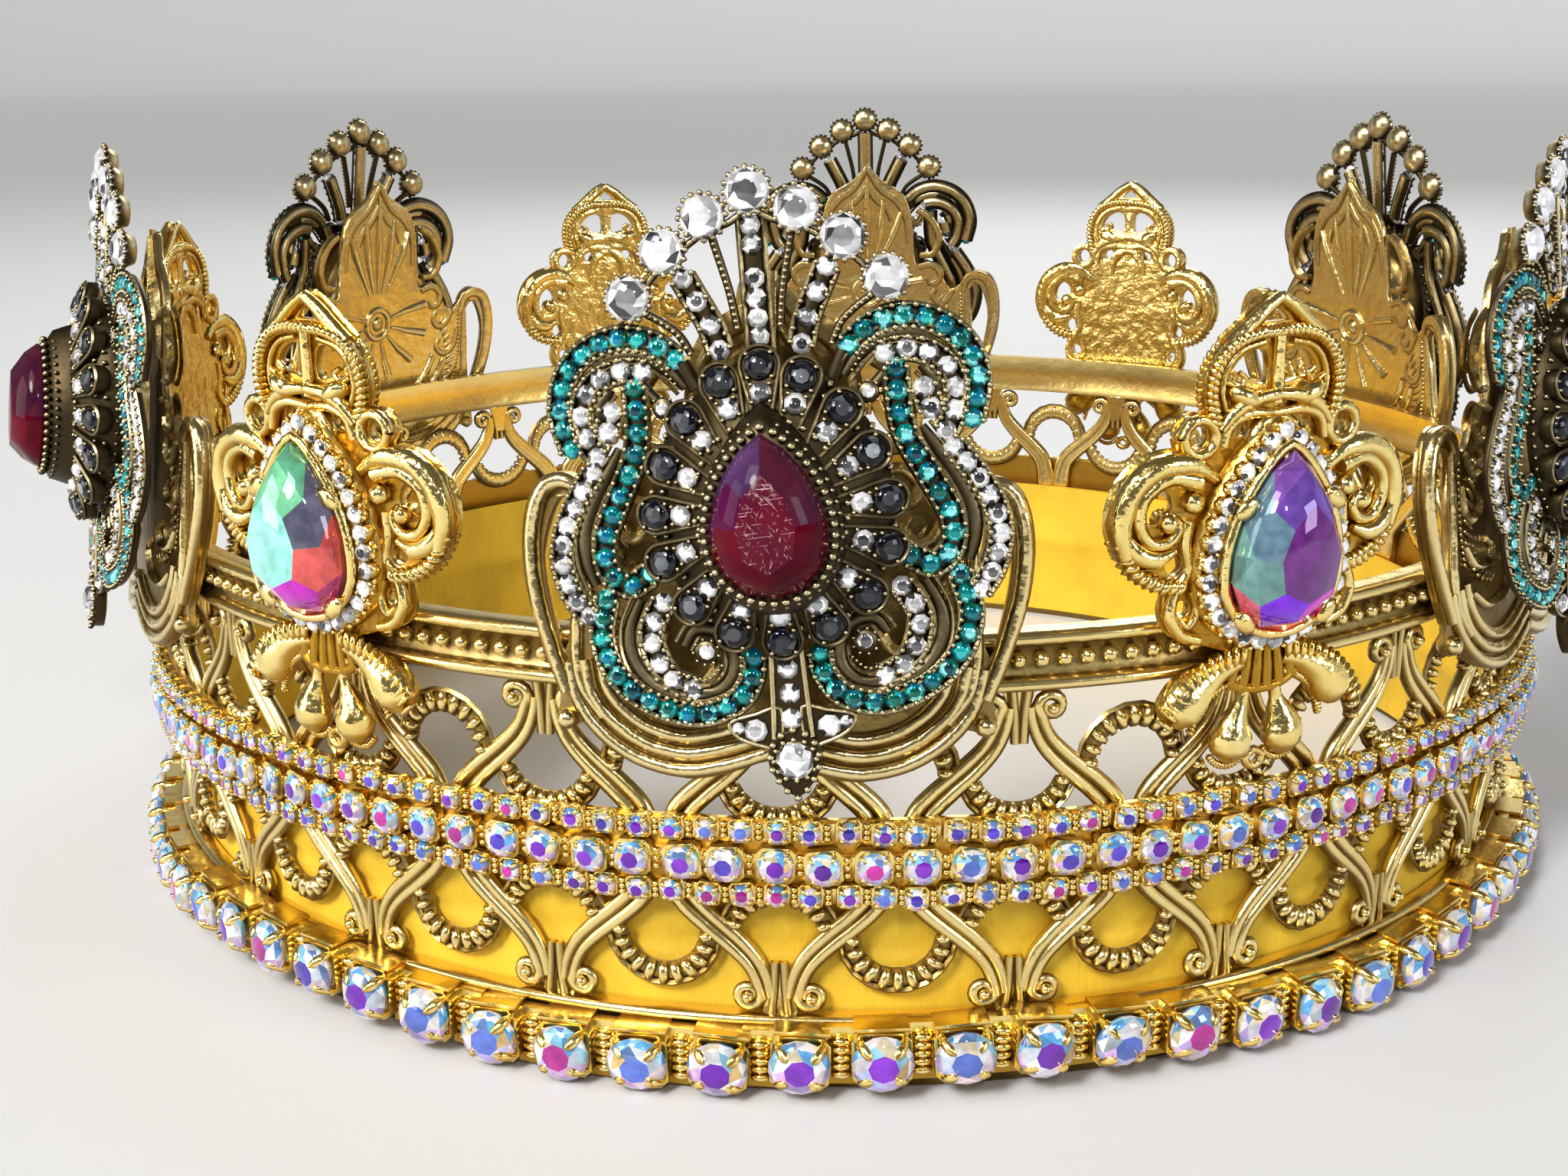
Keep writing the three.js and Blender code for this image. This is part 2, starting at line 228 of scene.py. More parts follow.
class Route:
    """A route across a flat piece, as [across, up] points a short step apart."""

    def __init__(self, points: Sequence[Point] | np.ndarray) -> None:
        """Keeps the points in order."""
        self.points = np.array(points, float)

    @classmethod
    def through(cls, knots: Sequence[Point], steps: int = 5, closed: bool = False) -> "Route":
        """A smooth route through a few knots.

        Args:
            knots: the points that it passes.
            steps: points made for each stretch between two knots.
            closed: whether it runs back to its first knot.

        Returns:
            The route.
        """
        k = np.array(knots, float)
        ends = (k[-1:], k[:2]) if closed else ([2 * k[0] - k[1]], [2 * k[-1] - k[-2]])
        k = np.vstack([ends[0], k, ends[1]])
        t = np.linspace(0, 1, steps, endpoint=False)[:, None]
        made = []
        for a, b, c, d in zip(k, k[1:], k[2:], k[3:]):
            square, cube = 2 * a - 5 * b + 4 * c - d, 3 * b - a - 3 * c + d
            made.append(b + ((c - a) * t + square * t**2 + cube * t**3) / 2)
        if not closed:
            made.append(k[-2:-1])
        return cls(np.vstack(made))

    @classmethod
    def eased(cls, knots: Sequence[Point]) -> "Route":
        """A smooth open route in fewer steps, for small work that is repeated often."""
        return cls.through(knots, 4)

    @classmethod
    def curl(cls, centre: Point, radii: Point, turns: Point, steps: int = 16) -> "Route":
        """An arc, or a spiral where the two radii differ.

        Args:
            centre: its middle.
            radii: radius at its start and at its end.
            turns: angle at its start and at its end, in degrees from the right, anticlockwise.
            steps: how many points it has.

        Returns:
            The route.
        """
        a = np.radians(np.linspace(*turns, steps))
        r = np.linspace(*radii, steps)
        return cls(np.column_stack([centre[0] + r * np.cos(a), centre[1] + r * np.sin(a)]))

    def __add__(self, other: "Route") -> "Route":
        """This route and then the other."""
        return Route(np.vstack([self.points, other.points]))

    def headings(self) -> np.ndarray:
        """The direction of travel at each point, as unit vectors."""
        d = np.gradient(self.points, axis=0)
        return d / np.maximum(np.linalg.norm(d, axis=1), 1e-9)[:, None]

    def beside(self, start: float, end: float | None = None) -> "Route":
        """The route that runs beside this one, to its left.

        Args:
            start: how far to the left at the start, negative for the right.
            end: the same at the end, if it changes evenly.

        Returns:
            The route beside it.
        """
        d = self.headings()
        away = np.linspace(start, start if end is None else end, len(d))[:, None]
        return Route(self.points + away * np.column_stack([-d[:, 1], d[:, 0]]))

    @classmethod
    def widened(cls, outline: np.ndarray, margin: float) -> "Route":
        """A closed route that runs outside an anticlockwise outline by a margin."""
        ahead = np.roll(outline, -1, axis=0) - np.roll(outline, 1, axis=0)
        ahead /= np.linalg.norm(ahead, axis=1)[:, None]
        return cls(outline + margin * np.column_stack([ahead[:, 1], -ahead[:, 0]]))

    def mirrored(self) -> "Route":
        """The same route with left and right exchanged."""
        return Route(self.points * [-1, 1])

    def length(self) -> float:
        """How long it is."""
        return float(np.linalg.norm(np.diff(self.points, axis=0), axis=1).sum())

    def spread(self, count: int) -> list[tuple[float, float, float]]:
        """Evenly spread places along the route.

        Args:
            count: how many, the first at the start and the last at the end.

        Returns:
            Across, up and the heading in degrees for each place.
        """
        run = np.concatenate([[0], np.cumsum(np.linalg.norm(np.diff(self.points, axis=0), axis=1))])
        at = np.linspace(0, run[-1], count)
        d = self.headings()
        across, up = (np.interp(at, run, self.points[:, i]) for i in (0, 1))
        dx, dy = (np.interp(at, run, d[:, i]) for i in (0, 1))
        return list(zip(across, up, np.degrees(np.arctan2(dy, dx))))


class Bench:
    """Models one thing at a time with Blender's own tools, facing -Y, with its height along Z."""

    @staticmethod
    def clear() -> None:
        """Lets go of whatever is selected."""
        if bpy.context.mode != "OBJECT":
            bpy.ops.object.mode_set(mode="OBJECT")
        bpy.ops.object.select_all(action="DESELECT")

    @staticmethod
    def hold(thing: bpy.types.Object) -> None:
        """Selects one thing alone."""
        Bench.clear()
        thing.select_set(True)
        bpy.context.view_layer.objects.active = thing

    @staticmethod
    def meshed(thing: bpy.types.Object) -> bpy.types.Object:
        """Turns a thing into a plain mesh."""
        Bench.hold(thing)
        bpy.ops.object.convert(target="MESH")
        return bpy.context.view_layer.objects.active

    @staticmethod
    def finished(thing: bpy.types.Object) -> Stock:
        """Lifts a thing off the bench once all its faces are turned outwards."""
        bpy.ops.mesh.select_all(action="SELECT")
        bpy.ops.mesh.normals_make_consistent(inside=False)
        bpy.ops.object.mode_set(mode="OBJECT")
        return Bench.take(thing)

    @staticmethod
    def take(thing: bpy.types.Object) -> Stock:
        """Lifts a finished model off the bench.

        Args:
            thing: the modelled object, which is removed.

        Returns:
            Its mesh as loose stock.
        """
        thing = Bench.meshed(thing)
        mesh = thing.data
        mesh.transform(thing.matrix_world)
        points = np.empty(len(mesh.vertices) * 3)
        mesh.vertices.foreach_get("co", points)
        corners = np.empty(len(mesh.loops), int)
        mesh.loops.foreach_get("vertex_index", corners)
        counts = np.empty(len(mesh.polygons), int)
        mesh.polygons.foreach_get("loop_total", counts)
        bpy.data.objects.remove(thing)
        bpy.data.meshes.remove(mesh)
        points = points.reshape(-1, 3)
        return Stock(points, corners, counts, np.ones((len(counts), 3)), np.ones(len(points)))

    @staticmethod
    def ball(
        radius: float, around: int = 8, rows: int = 5, size: Sequence[float] = (1, 1, 1)
    ) -> Stock:
        """A ball or an egg.

        Args:
            radius: its radius before it is sized.
            around: sides round it.
            rows: rows of faces from pole to pole.
            size: how much it is stretched across, out and up.

        Returns:
            The ball, at the origin, with one pole facing out.
        """
        Bench.clear()
        bpy.ops.mesh.primitive_uv_sphere_add(segments=around, ring_count=rows, radius=radius)
        bpy.ops.transform.rotate(value=math.pi / 2, orient_axis="X", center_override=(0, 0, 0))
        ball = bpy.context.object
        bpy.ops.object.transform_apply(location=False, rotation=True, scale=False)
        ball.scale = size
        bpy.ops.object.transform_apply(location=False, rotation=False, scale=True)
        return Bench.take(ball)

    @staticmethod
    def wire(
        route: Route,
        radius: float | Sequence[float],
        out: float | Sequence[float],
        sides: int = 8,
        closed: bool = False,
        flat: float = 1,
    ) -> Stock:
        """A round or half-flat wire laid along a route.

        Args:
            route: where it runs.
            radius: its radius, or one for each end.
            out: how far out its middle lies, or one for each end or point.
            sides: faces round it, an even number.
            closed: whether it joins up with itself.
            flat: its height over its width.

        Returns:
            The wire.
        """
        count = len(route.points)
        curve = bpy.data.curves.new("wire", "CURVE")
        curve.dimensions = "3D"
        curve.bevel_depth = 1
        curve.bevel_resolution = sides // 2 - 2
        curve.use_fill_caps = not closed
        line = curve.splines.new("POLY")
        line.points.add(count - 1)
        course = np.column_stack([
            route.points[:, 0], np.zeros(count), route.points[:, 1], np.ones(count)
        ])
        line.points.foreach_set("co", course.ravel())
        line.points.foreach_set("radius", evenly(radius, count))
        line.use_cyclic_u = closed
        made = Bench.take(stood("wire", curve))
        level = out
        if np.size(out) > 1:
            near = np.argmin(
                ((made.points[:, None, [0, 2]] - route.points[None]) ** 2).sum(2), axis=1
            )
            level = evenly(out, count)[near]
        made.points[:, 1] = made.points[:, 1] * flat - level
        return made

    @staticmethod
    def rings(levels: Sequence[tuple[np.ndarray, float]]) -> Stock:
        """A solid skinned over outlines, each at its own depth.

        Args:
            levels: outlines as [across, up] points, and how far out each lies, back to front.

        Returns:
            The solid.
        """
        Bench.clear()
        hoops = []
        for outline, out in levels:
            bpy.ops.mesh.primitive_circle_add(vertices=len(outline), radius=1)
            hoop = bpy.context.object
            place = np.column_stack([outline[:, 0], np.full(len(outline), -out), outline[:, 1]])
            hoop.data.vertices.foreach_set("co", place.ravel())
            hoops.append(hoop)
        for hoop in hoops:
            hoop.select_set(True)
        bpy.context.view_layer.objects.active = hoops[0]
        bpy.ops.object.join()
        solid = bpy.context.object
        sizes = [len(outline) for outline, _ in levels]
        ends = np.cumsum([0] + sizes)
        for i in range(len(levels) - 1):
            Bench.select_points(solid, range(ends[i], ends[i + 2]))
            bpy.ops.mesh.bridge_edge_loops()
        for i in (0, len(levels) - 1):
            Bench.select_points(solid, range(ends[i], ends[i + 1]))
            bpy.ops.mesh.edge_face_add()
        return Bench.finished(solid)

    @staticmethod
    def select_points(thing: bpy.types.Object, wanted: Iterable[int]) -> None:
        """Goes into edit mode with only some points, and the edges between them, selected."""
        if bpy.context.mode != "OBJECT":
            bpy.ops.object.mode_set(mode="OBJECT")
        chosen = np.zeros(len(thing.data.vertices), bool)
        chosen[list(wanted)] = True
        bpy.ops.object.mode_set(mode="EDIT")
        bpy.ops.mesh.select_mode(type="VERT")
        bpy.ops.mesh.select_all(action="DESELECT")
        bpy.ops.object.mode_set(mode="OBJECT")
        thing.data.vertices.foreach_set("select", chosen)
        bpy.ops.object.mode_set(mode="EDIT")

    @staticmethod
    def plate(
        outline: Route,
        back: float,
        front: float,
        holes: Sequence[Route] = (),
        bevel: float = 0.2,
        column: float = 0,
    ) -> Stock:
        """A flat plate with a softened edge, sawn out along its outline and its holes.

        Args:
            outline: its edge, closed.
            back: how far out its back is.
            front: how far out its front is.
            holes: closed routes that are cut out of it.
            bevel: how much its edges are rounded.
            column: width of the columns that it is cut into, to bend evenly; 0 leaves it whole.

        Returns:
            The plate.
        """
        curve = bpy.data.curves.new("plate", "CURVE")
        curve.dimensions = "2D"
        curve.fill_mode = "BOTH"
        curve.extrude = (front - back) / 2 - bevel
        curve.bevel_depth = bevel
        curve.bevel_resolution = 1
        curve.offset = -bevel
        for edge in (outline, *holes):
            line = curve.splines.new("POLY")
            line.points.add(len(edge.points) - 1)
            level = np.column_stack([
                edge.points, np.zeros(len(edge.points)), np.ones(len(edge.points))
            ])
            line.points.foreach_set("co", level.ravel())
            line.use_cyclic_u = True
        thing = stood("plate", curve)
        thing.rotation_euler = (math.pi / 2, 0, 0)
        bpy.context.view_layer.update()
        if column:
            thing = Bench.meshed(thing)
            bpy.ops.object.mode_set(mode="EDIT")
            bpy.ops.mesh.select_all(action="SELECT")
            bpy.ops.mesh.remove_doubles(threshold=WELD)
            cuts = int(np.abs(outline.points[:, 0]).max() / column)
            for number in range(-cuts, cuts + 1):
                bpy.ops.mesh.select_all(action="SELECT")
                bpy.ops.mesh.bisect(plane_co=(number * column, 0, 0), plane_no=(1, 0, 0))
            bpy.ops.object.mode_set(mode="OBJECT")
        return Bench.take(thing).shifted(out=(front + back) / 2)

    @staticmethod
    def hoop(profile: Sequence[Point], steps: int, closed: bool = True) -> Stock:
        """A ring spun about the crown's axis.

        Args:
            profile: its section, as [radius, height] points, whose outer side runs upwards.
            steps: how many steps go round.
            closed: whether the section joins up with itself.

        Returns:
            The ring.
        """
        Bench.clear()
        bpy.ops.mesh.primitive_circle_add(vertices=len(profile), radius=1)
        ring = bpy.context.object
        place = [(0, -r, z) for r, z in profile]
        ring.data.vertices.foreach_set("co", np.array(place).ravel())
        bpy.ops.object.mode_set(mode="EDIT")
        bpy.ops.mesh.select_all(action="SELECT")
        if not closed:
            Bench.select_points(ring, (0, len(profile) - 1))
            bpy.ops.mesh.delete(type="EDGE")
            bpy.ops.mesh.select_all(action="SELECT")
        bpy.ops.mesh.spin(steps=steps, angle=2 * math.pi, center=(0, 0, 0), axis=(0, 0, 1))
        bpy.ops.mesh.select_all(action="SELECT")
        bpy.ops.mesh.remove_doubles(threshold=WELD)
        return Bench.finished(ring)


# ---------------------------------------------------------------- finishes
class Amount:
    """A shader socket that is worked with as a number is."""

    def __init__(self, shader: "Shader", socket: bpy.types.NodeSocket) -> None:
        """Keeps the socket and the shader that it belongs to."""
        self.shader = shader
        self.socket = socket

    def maths(self, operation: str, first: "Amount | float", second: "Amount | float") -> "Amount":
        """One Math node.

        Args:
            operation: what it works out.
            first: its first value.
            second: its second value.

        Returns:
            The result.
        """
        return self.shader.node("ShaderNodeMath", {"operation": operation}, {0: first, 1: second})

    def __add__(self, other: "Amount | float") -> "Amount":
        """The sum."""
        return self.maths("ADD", self, other)

    __radd__ = __add__

    def __sub__(self, other: "Amount | float") -> "Amount":
        """The difference."""
        return self.maths("SUBTRACT", self, other)

    def __rsub__(self, other: float) -> "Amount":
        """A number less this."""
        return self.maths("SUBTRACT", other, self)

    def __mul__(self, other: "Amount | float") -> "Amount":
        """The product."""
        return self.maths("MULTIPLY", self, other)

    __rmul__ = __mul__

    def between(self, low: float, high: float) -> "Amount":
        """0 below low, 1 above high and an even rise from one to the other."""
        settings = {"interpolation_type": "SMOOTHSTEP"}
        return self.shader.node("ShaderNodeMapRange", settings, {0: self, 1: low, 2: high})


class Shader:
    """A material's nodes, built up from the surface."""

    def __init__(self, name: str) -> None:
        """Starts a material with a bare surface."""
        self.material = bpy.data.materials.new(name)
        self.material.use_nodes = True
        self.tree = self.material.node_tree
        self.surface = self.tree.nodes["Principled BSDF"]

    def node(
        self,
        kind: str,
        settings: dict[str, object],
        inputs: dict[int | str, object],
        output: int | str = 0,
    ) -> Amount:
        """Adds a node.

        Args:
            kind: its type.
            settings: its own settings, set before its sockets.
            inputs: values or links for its sockets.
            output: which of its outputs is wanted.

        Returns:
            That output.
        """
        made = self.tree.nodes.new(kind)
        for key, value in settings.items():
            setattr(made, key, value)
        for key, value in inputs.items():
            self.feed(made.inputs[key], value)
        return Amount(self, made.outputs[output])

    def feed(self, socket: bpy.types.NodeSocket, value: object) -> None:
        """Links a socket, or sets its own value."""
        if isinstance(value, Amount):
            self.tree.links.new(value.socket, socket)
        elif isinstance(value, tuple) and len(value) == 3 and socket.type == "RGBA":
            socket.default_value = (*value, 1)
        else:
            socket.default_value = value

    def place(self) -> Amount:
        """Where on the crown a point is, in metres."""
        return self.node("ShaderNodeTexCoord", {}, {}, "Object")

    def attribute(self, name: str, output: str = "Fac") -> Amount:
        """What a piece's own attribute holds."""
        return self.node("ShaderNodeAttribute", {"attribute_name": name}, {}, output)

    def noise(
        self, size: float, detail: float = 2, stretch: Sequence[float] = (1, 1, 1), turn: float = 0
    ) -> Amount:
        """Smooth noise.

        Args:
            size: size of its patches, in millimetres.
            detail: how many finer layers it has.
            stretch: how much it is drawn out along each axis.
            turn: how far it is turned about the line of sight from the front, in radians.

        Returns:
            The noise, from 0 to 1.
        """
        scale = tuple(1 / (size * MM * s) for s in stretch)
        place = self.place()
        if turn:
            place = self.node(
                "ShaderNodeMapping", {}, {"Vector": place, "Rotation": (0.0, turn, 0.0)}
            )
        mapped = self.node("ShaderNodeMapping", {}, {"Vector": place, "Scale": scale})
        return self.node(
            "ShaderNodeTexNoise", {}, {"Vector": mapped, "Scale": 1.0, "Detail": float(detail)}
        )

    def mix(self, share: Amount | float, first: Amount | Colour, second: Amount | Colour) -> Amount:
        """A blend of two colours.

        Args:
            share: how much of the second there is.
            first: the first colour.
            second: the second colour.

        Returns:
            The blend.
        """
        settings = {"data_type": "RGBA"}
        return self.node("ShaderNodeMix", settings, {0: share, 6: first, 7: second}, 2)

    def bump(self, height: Amount, depth: float) -> None:
        """Feeds a bump of some depth, in millimetres, to the surface."""
        inputs = {"Height": height, "Distance": depth * MM, "Strength": 1}
        self.feed(self.surface.inputs["Normal"], self.node("ShaderNodeBump", {}, inputs))

    def set(self, **sockets: object) -> None:
        """Sets sockets of the surface by name, with _ for a space."""
        for name, value in sockets.items():
            self.feed(self.surface.inputs[name.replace("_", " ")], value)


@dataclass(frozen=True)
class CastMetal:
    """Plated cast metal: bright on its crests, and darker in its recesses, from painted shade
    together with grime.
    """

    name: str
    slot: str
    crest: Colour
    # recess is the colour in the hollows: painted shade together with grime
    recess: Colour
    flush: Colour  # what the plating turns to in patches
    roughness: float = 0.2
    low: float = 0.0  # relief at which it is darkest
    high: float = 0.7  # relief from which it is bright
    pits: float = 0.09

    def made(self) -> bpy.types.Material:
        """The material."""
        shader = Shader(self.name)
        relief = shader.attribute("relief").between(self.low, self.high)
        patch = shader.noise(14, 3).between(0.42, 0.72)
        grain = shader.noise(0.5, 3)
        polish = shader.mix(patch * 0.55, self.crest, self.flush)
        shaded_and_grimed = relief * (0.8 + 0.4 * grain)
        shader.set(
            Metallic=1.0,
            Base_Color=shader.mix(shaded_and_grimed.between(0.0, 1.0), self.recess, polish),
            Roughness=self.roughness + (1 - relief) * 0.22 + (grain - 0.5) * 0.12,
        )
        shader.bump(shader.noise(1.9, 3), self.pits)
        return shader.material


@dataclass(frozen=True)
class CutGlass:
    """Foiled cut glass, with a colour painted on each facet, which holds its painted reflections,
    and a painted glow.
    """

    name: str
    slot: str
    metallic: float = 0.6
    roughness: float = 0.06
    gloss: float = 0.5
    scratches: float = 0.0
    painted_glow: float = 0.0  # painted glow: emission that stands for the light thrown back by the foil behind the stone
    mottle: float = 1.6  # size of the foil's clouds, in millimetres

    def made(self) -> bpy.types.Material:
        """The material."""
        shader = Shader(self.name)
        facet = shader.attribute("facet", "Color")
        rough: Amount | float = self.roughness
        cloud = shader.noise(self.mottle, 3).between(0.35, 0.7)
        facet = shader.mix(cloud * 0.45, facet, shader.mix(0.75, facet, (0.0, 0.0, 0.02)))
        if self.scratches:
            lines = [
                shader.noise(0.1, 1, (30, 1, 1), turn).between(0.68, 0.71)
                for turn in (0.15, 1.25, -0.9)
            ]
            table = shader.attribute("facet", "Alpha")
            fine = (lines[0] + lines[1] + lines[2]) * table
            facet = shader.mix(fine * self.scratches, facet, (0.62, 0.42, 0.40))
            rough = self.roughness + table * 0.12 + fine * 0.3
        shader.set(
            Base_Color=facet,
            Metallic=self.metallic,
            Roughness=rough,
            Specular_IOR_Level=self.gloss,
            Coat_Weight=self.gloss,
            Coat_Roughness=0.02,
            Emission_Color=facet,
            Emission_Strength=self.painted_glow,
        )
        return shader.material


@dataclass(frozen=True)
class SatinRibbon:
    """A band of yellow satin, with an upright weave and a soft crease."""

    name: str
    slot: str
    colour: Colour

    def made(self) -> bpy.types.Material:
        """The material."""
        shader = Shader(self.name)
        thread = shader.noise(0.5, 2, (1, 1, 14))
        cloud = shader.noise(9, 3).between(0.3, 0.75)
        dark = tuple(c * 0.6 for c in self.colour)
        shader.set(
            Base_Color=shader.mix(cloud * 0.5 + thread * 0.3, self.colour, dark),
            Roughness=0.55 + thread * 0.15,
            Specular_IOR_Level=0.25,
        )
        shader.bump(thread, 0.06)
        return shader.material


PALE_GOLD = CastMetal(
    "pale_gold",
    "pale_gold",
    crest=(0.92, 0.73, 0.30),
    recess=(0.22, 0.14, 0.04),
    flush=(0.74, 0.52, 0.22),
    roughness=0.22,
)
BRIGHT_GOLD = CastMetal(
    "bright_gold",
    "bright_gold",
    crest=(0.96, 0.77, 0.30),
    recess=(0.46, 0.25, 0.025),
    flush=(0.96, 0.65, 0.15),
    roughness=0.16,
    high=0.85,
    pits=0.3,
)
CUP_GOLD = CastMetal(
    "cup_gold",
    "bright_gold",
    crest=(0.98, 0.76, 0.26),
    recess=(0.44, 0.25, 0.035),
    flush=(0.94, 0.64, 0.16),
    roughness=0.2,
    high=0.6,
)
MOUNT_GOLD = CastMetal(
    "mount_gold",
    "pale_gold",
    crest=(0.86, 0.70, 0.34),
    recess=(0.22, 0.13, 0.03),
    flush=(0.76, 0.56, 0.22),
    roughness=0.2,
    high=0.8,
    pits=0.2,
)
ANTIQUE_GOLD = CastMetal(
    "antique_gold",
    "antique_gold",
    crest=(0.74, 0.61, 0.34),
    recess=(0.05, 0.036, 0.018),
    flush=(0.50, 0.37, 0.17),
    roughness=0.25,
    low=0.1,
    high=1.15,
)
AURORA = CutGlass("aurora_glass", "aurora_stone", metallic=0.3, painted_glow=0.12)
CLEAR = CutGlass("clear_glass", "clear_stone", metallic=0.5, painted_glow=0.16)
TEAL = CutGlass("teal_glass", "teal_stone", metallic=0.5, painted_glow=0.1)
BLACK = CutGlass("black_glass", "black_stone", metallic=0.0, roughness=0.05, gloss=0.2)
RUBY = CutGlass(
    "ruby_glass",
    "ruby_stone",
    metallic=0.0,
    roughness=0.08,
    gloss=0.06,
    scratches=0.5,
    painted_glow=0.16,
    mottle=3.0,
)
PEAR_GLASS = CutGlass(
    "aurora_pear_glass",
    "aurora_stone",
    metallic=0.2,
    roughness=0.05,
    gloss=0.4,
    painted_glow=0.22,
    mottle=1.4,
)
RIBBON = SatinRibbon("yellow_satin", "ribbon", (0.82, 0.52, 0.036))

Finish = CastMetal | CutGlass | SatinRibbon

UNDER_SHADE = 0.7  # relief that metal loses where it faces down, which paints shade on its undersides
SMOOTH_UNDER = math.radians(74)  # edges flatter than this are shaded smooth
PLATE_COLUMN = 6.0  # plates are cut into columns so wide, so that they bend evenly


class Workshop:
    """Turns stock into the crown's pieces, and keeps one material for each finish."""

    def __init__(self) -> None:
        """Starts with no materials."""
        self.materials: dict[str, bpy.types.Material] = {}

    def material(self, finish: Finish) -> bpy.types.Material:
        """The material of a finish, made once."""
        if finish.name not in self.materials:
            self.materials[finish.name] = finish.made()
        return self.materials[finish.name]

    def fit(
        self,
        name: str,
        stock: Stock,
        finish: Finish,
        stands_for: Sequence[str] = (),
    ) -> bpy.types.Object:
        """Makes a piece of the crown from stock.

        Args:
            name: the piece's name.
            stock: its shape, in place, in millimetres.
            finish: what it is finished in.
            stands_for: the CAD nodes that it replaces.

        Returns:
            The piece.
        """
        mesh = bpy.data.meshes.new(name)
        mesh.vertices.add(len(stock.points))
        mesh.vertices.foreach_set("co", (stock.points * MM).ravel())
        mesh.loops.add(len(stock.corners))
        mesh.loops.foreach_set("vertex_index", stock.corners)
        mesh.polygons.add(len(stock.counts))
        mesh.polygons.foreach_set("loop_start", stock.starts)
        mesh.polygons.foreach_set("loop_total", stock.counts)
        mesh.update(calc_edges=True)
        mesh.validate()
        if isinstance(finish, CutGlass):
            flat = (stock.facets() * stock.facing()).sum(1) > 0.985
            colours = np.repeat(np.column_stack([stock.tint, flat]), stock.counts, axis=0)
            facet = mesh.color_attributes.new("facet", "FLOAT_COLOR", "CORNER")
            facet.data.foreach_set("color", colours.ravel())
        else:
            # Metal that faces down loses relief, which paints shade under it.
            normals = np.empty(len(stock.points) * 3)
            mesh.vertices.foreach_get("normal", normals)
            down_shade = np.clip(0.15 - 2.2 * normals[2::3], 0, 1)
            relief = np.maximum(np.clip(stock.relief, 0, 1.3) - UNDER_SHADE * down_shade, 0)
            height = mesh.attributes.new("relief", "FLOAT", "POINT")
            height.data.foreach_set("value", relief)
        piece = stood(name, mesh)
        mesh.materials.append(self.material(finish))
        if not isinstance(finish, CutGlass):
            Bench.hold(piece)
            bpy.ops.object.shade_smooth_by_angle(angle=SMOOTH_UNDER)
        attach(piece, "root")
        if stands_for:
            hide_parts(*stands_for)
        log.info("%s: %d triangles", name, int((stock.counts - 2).sum()))
        return piece


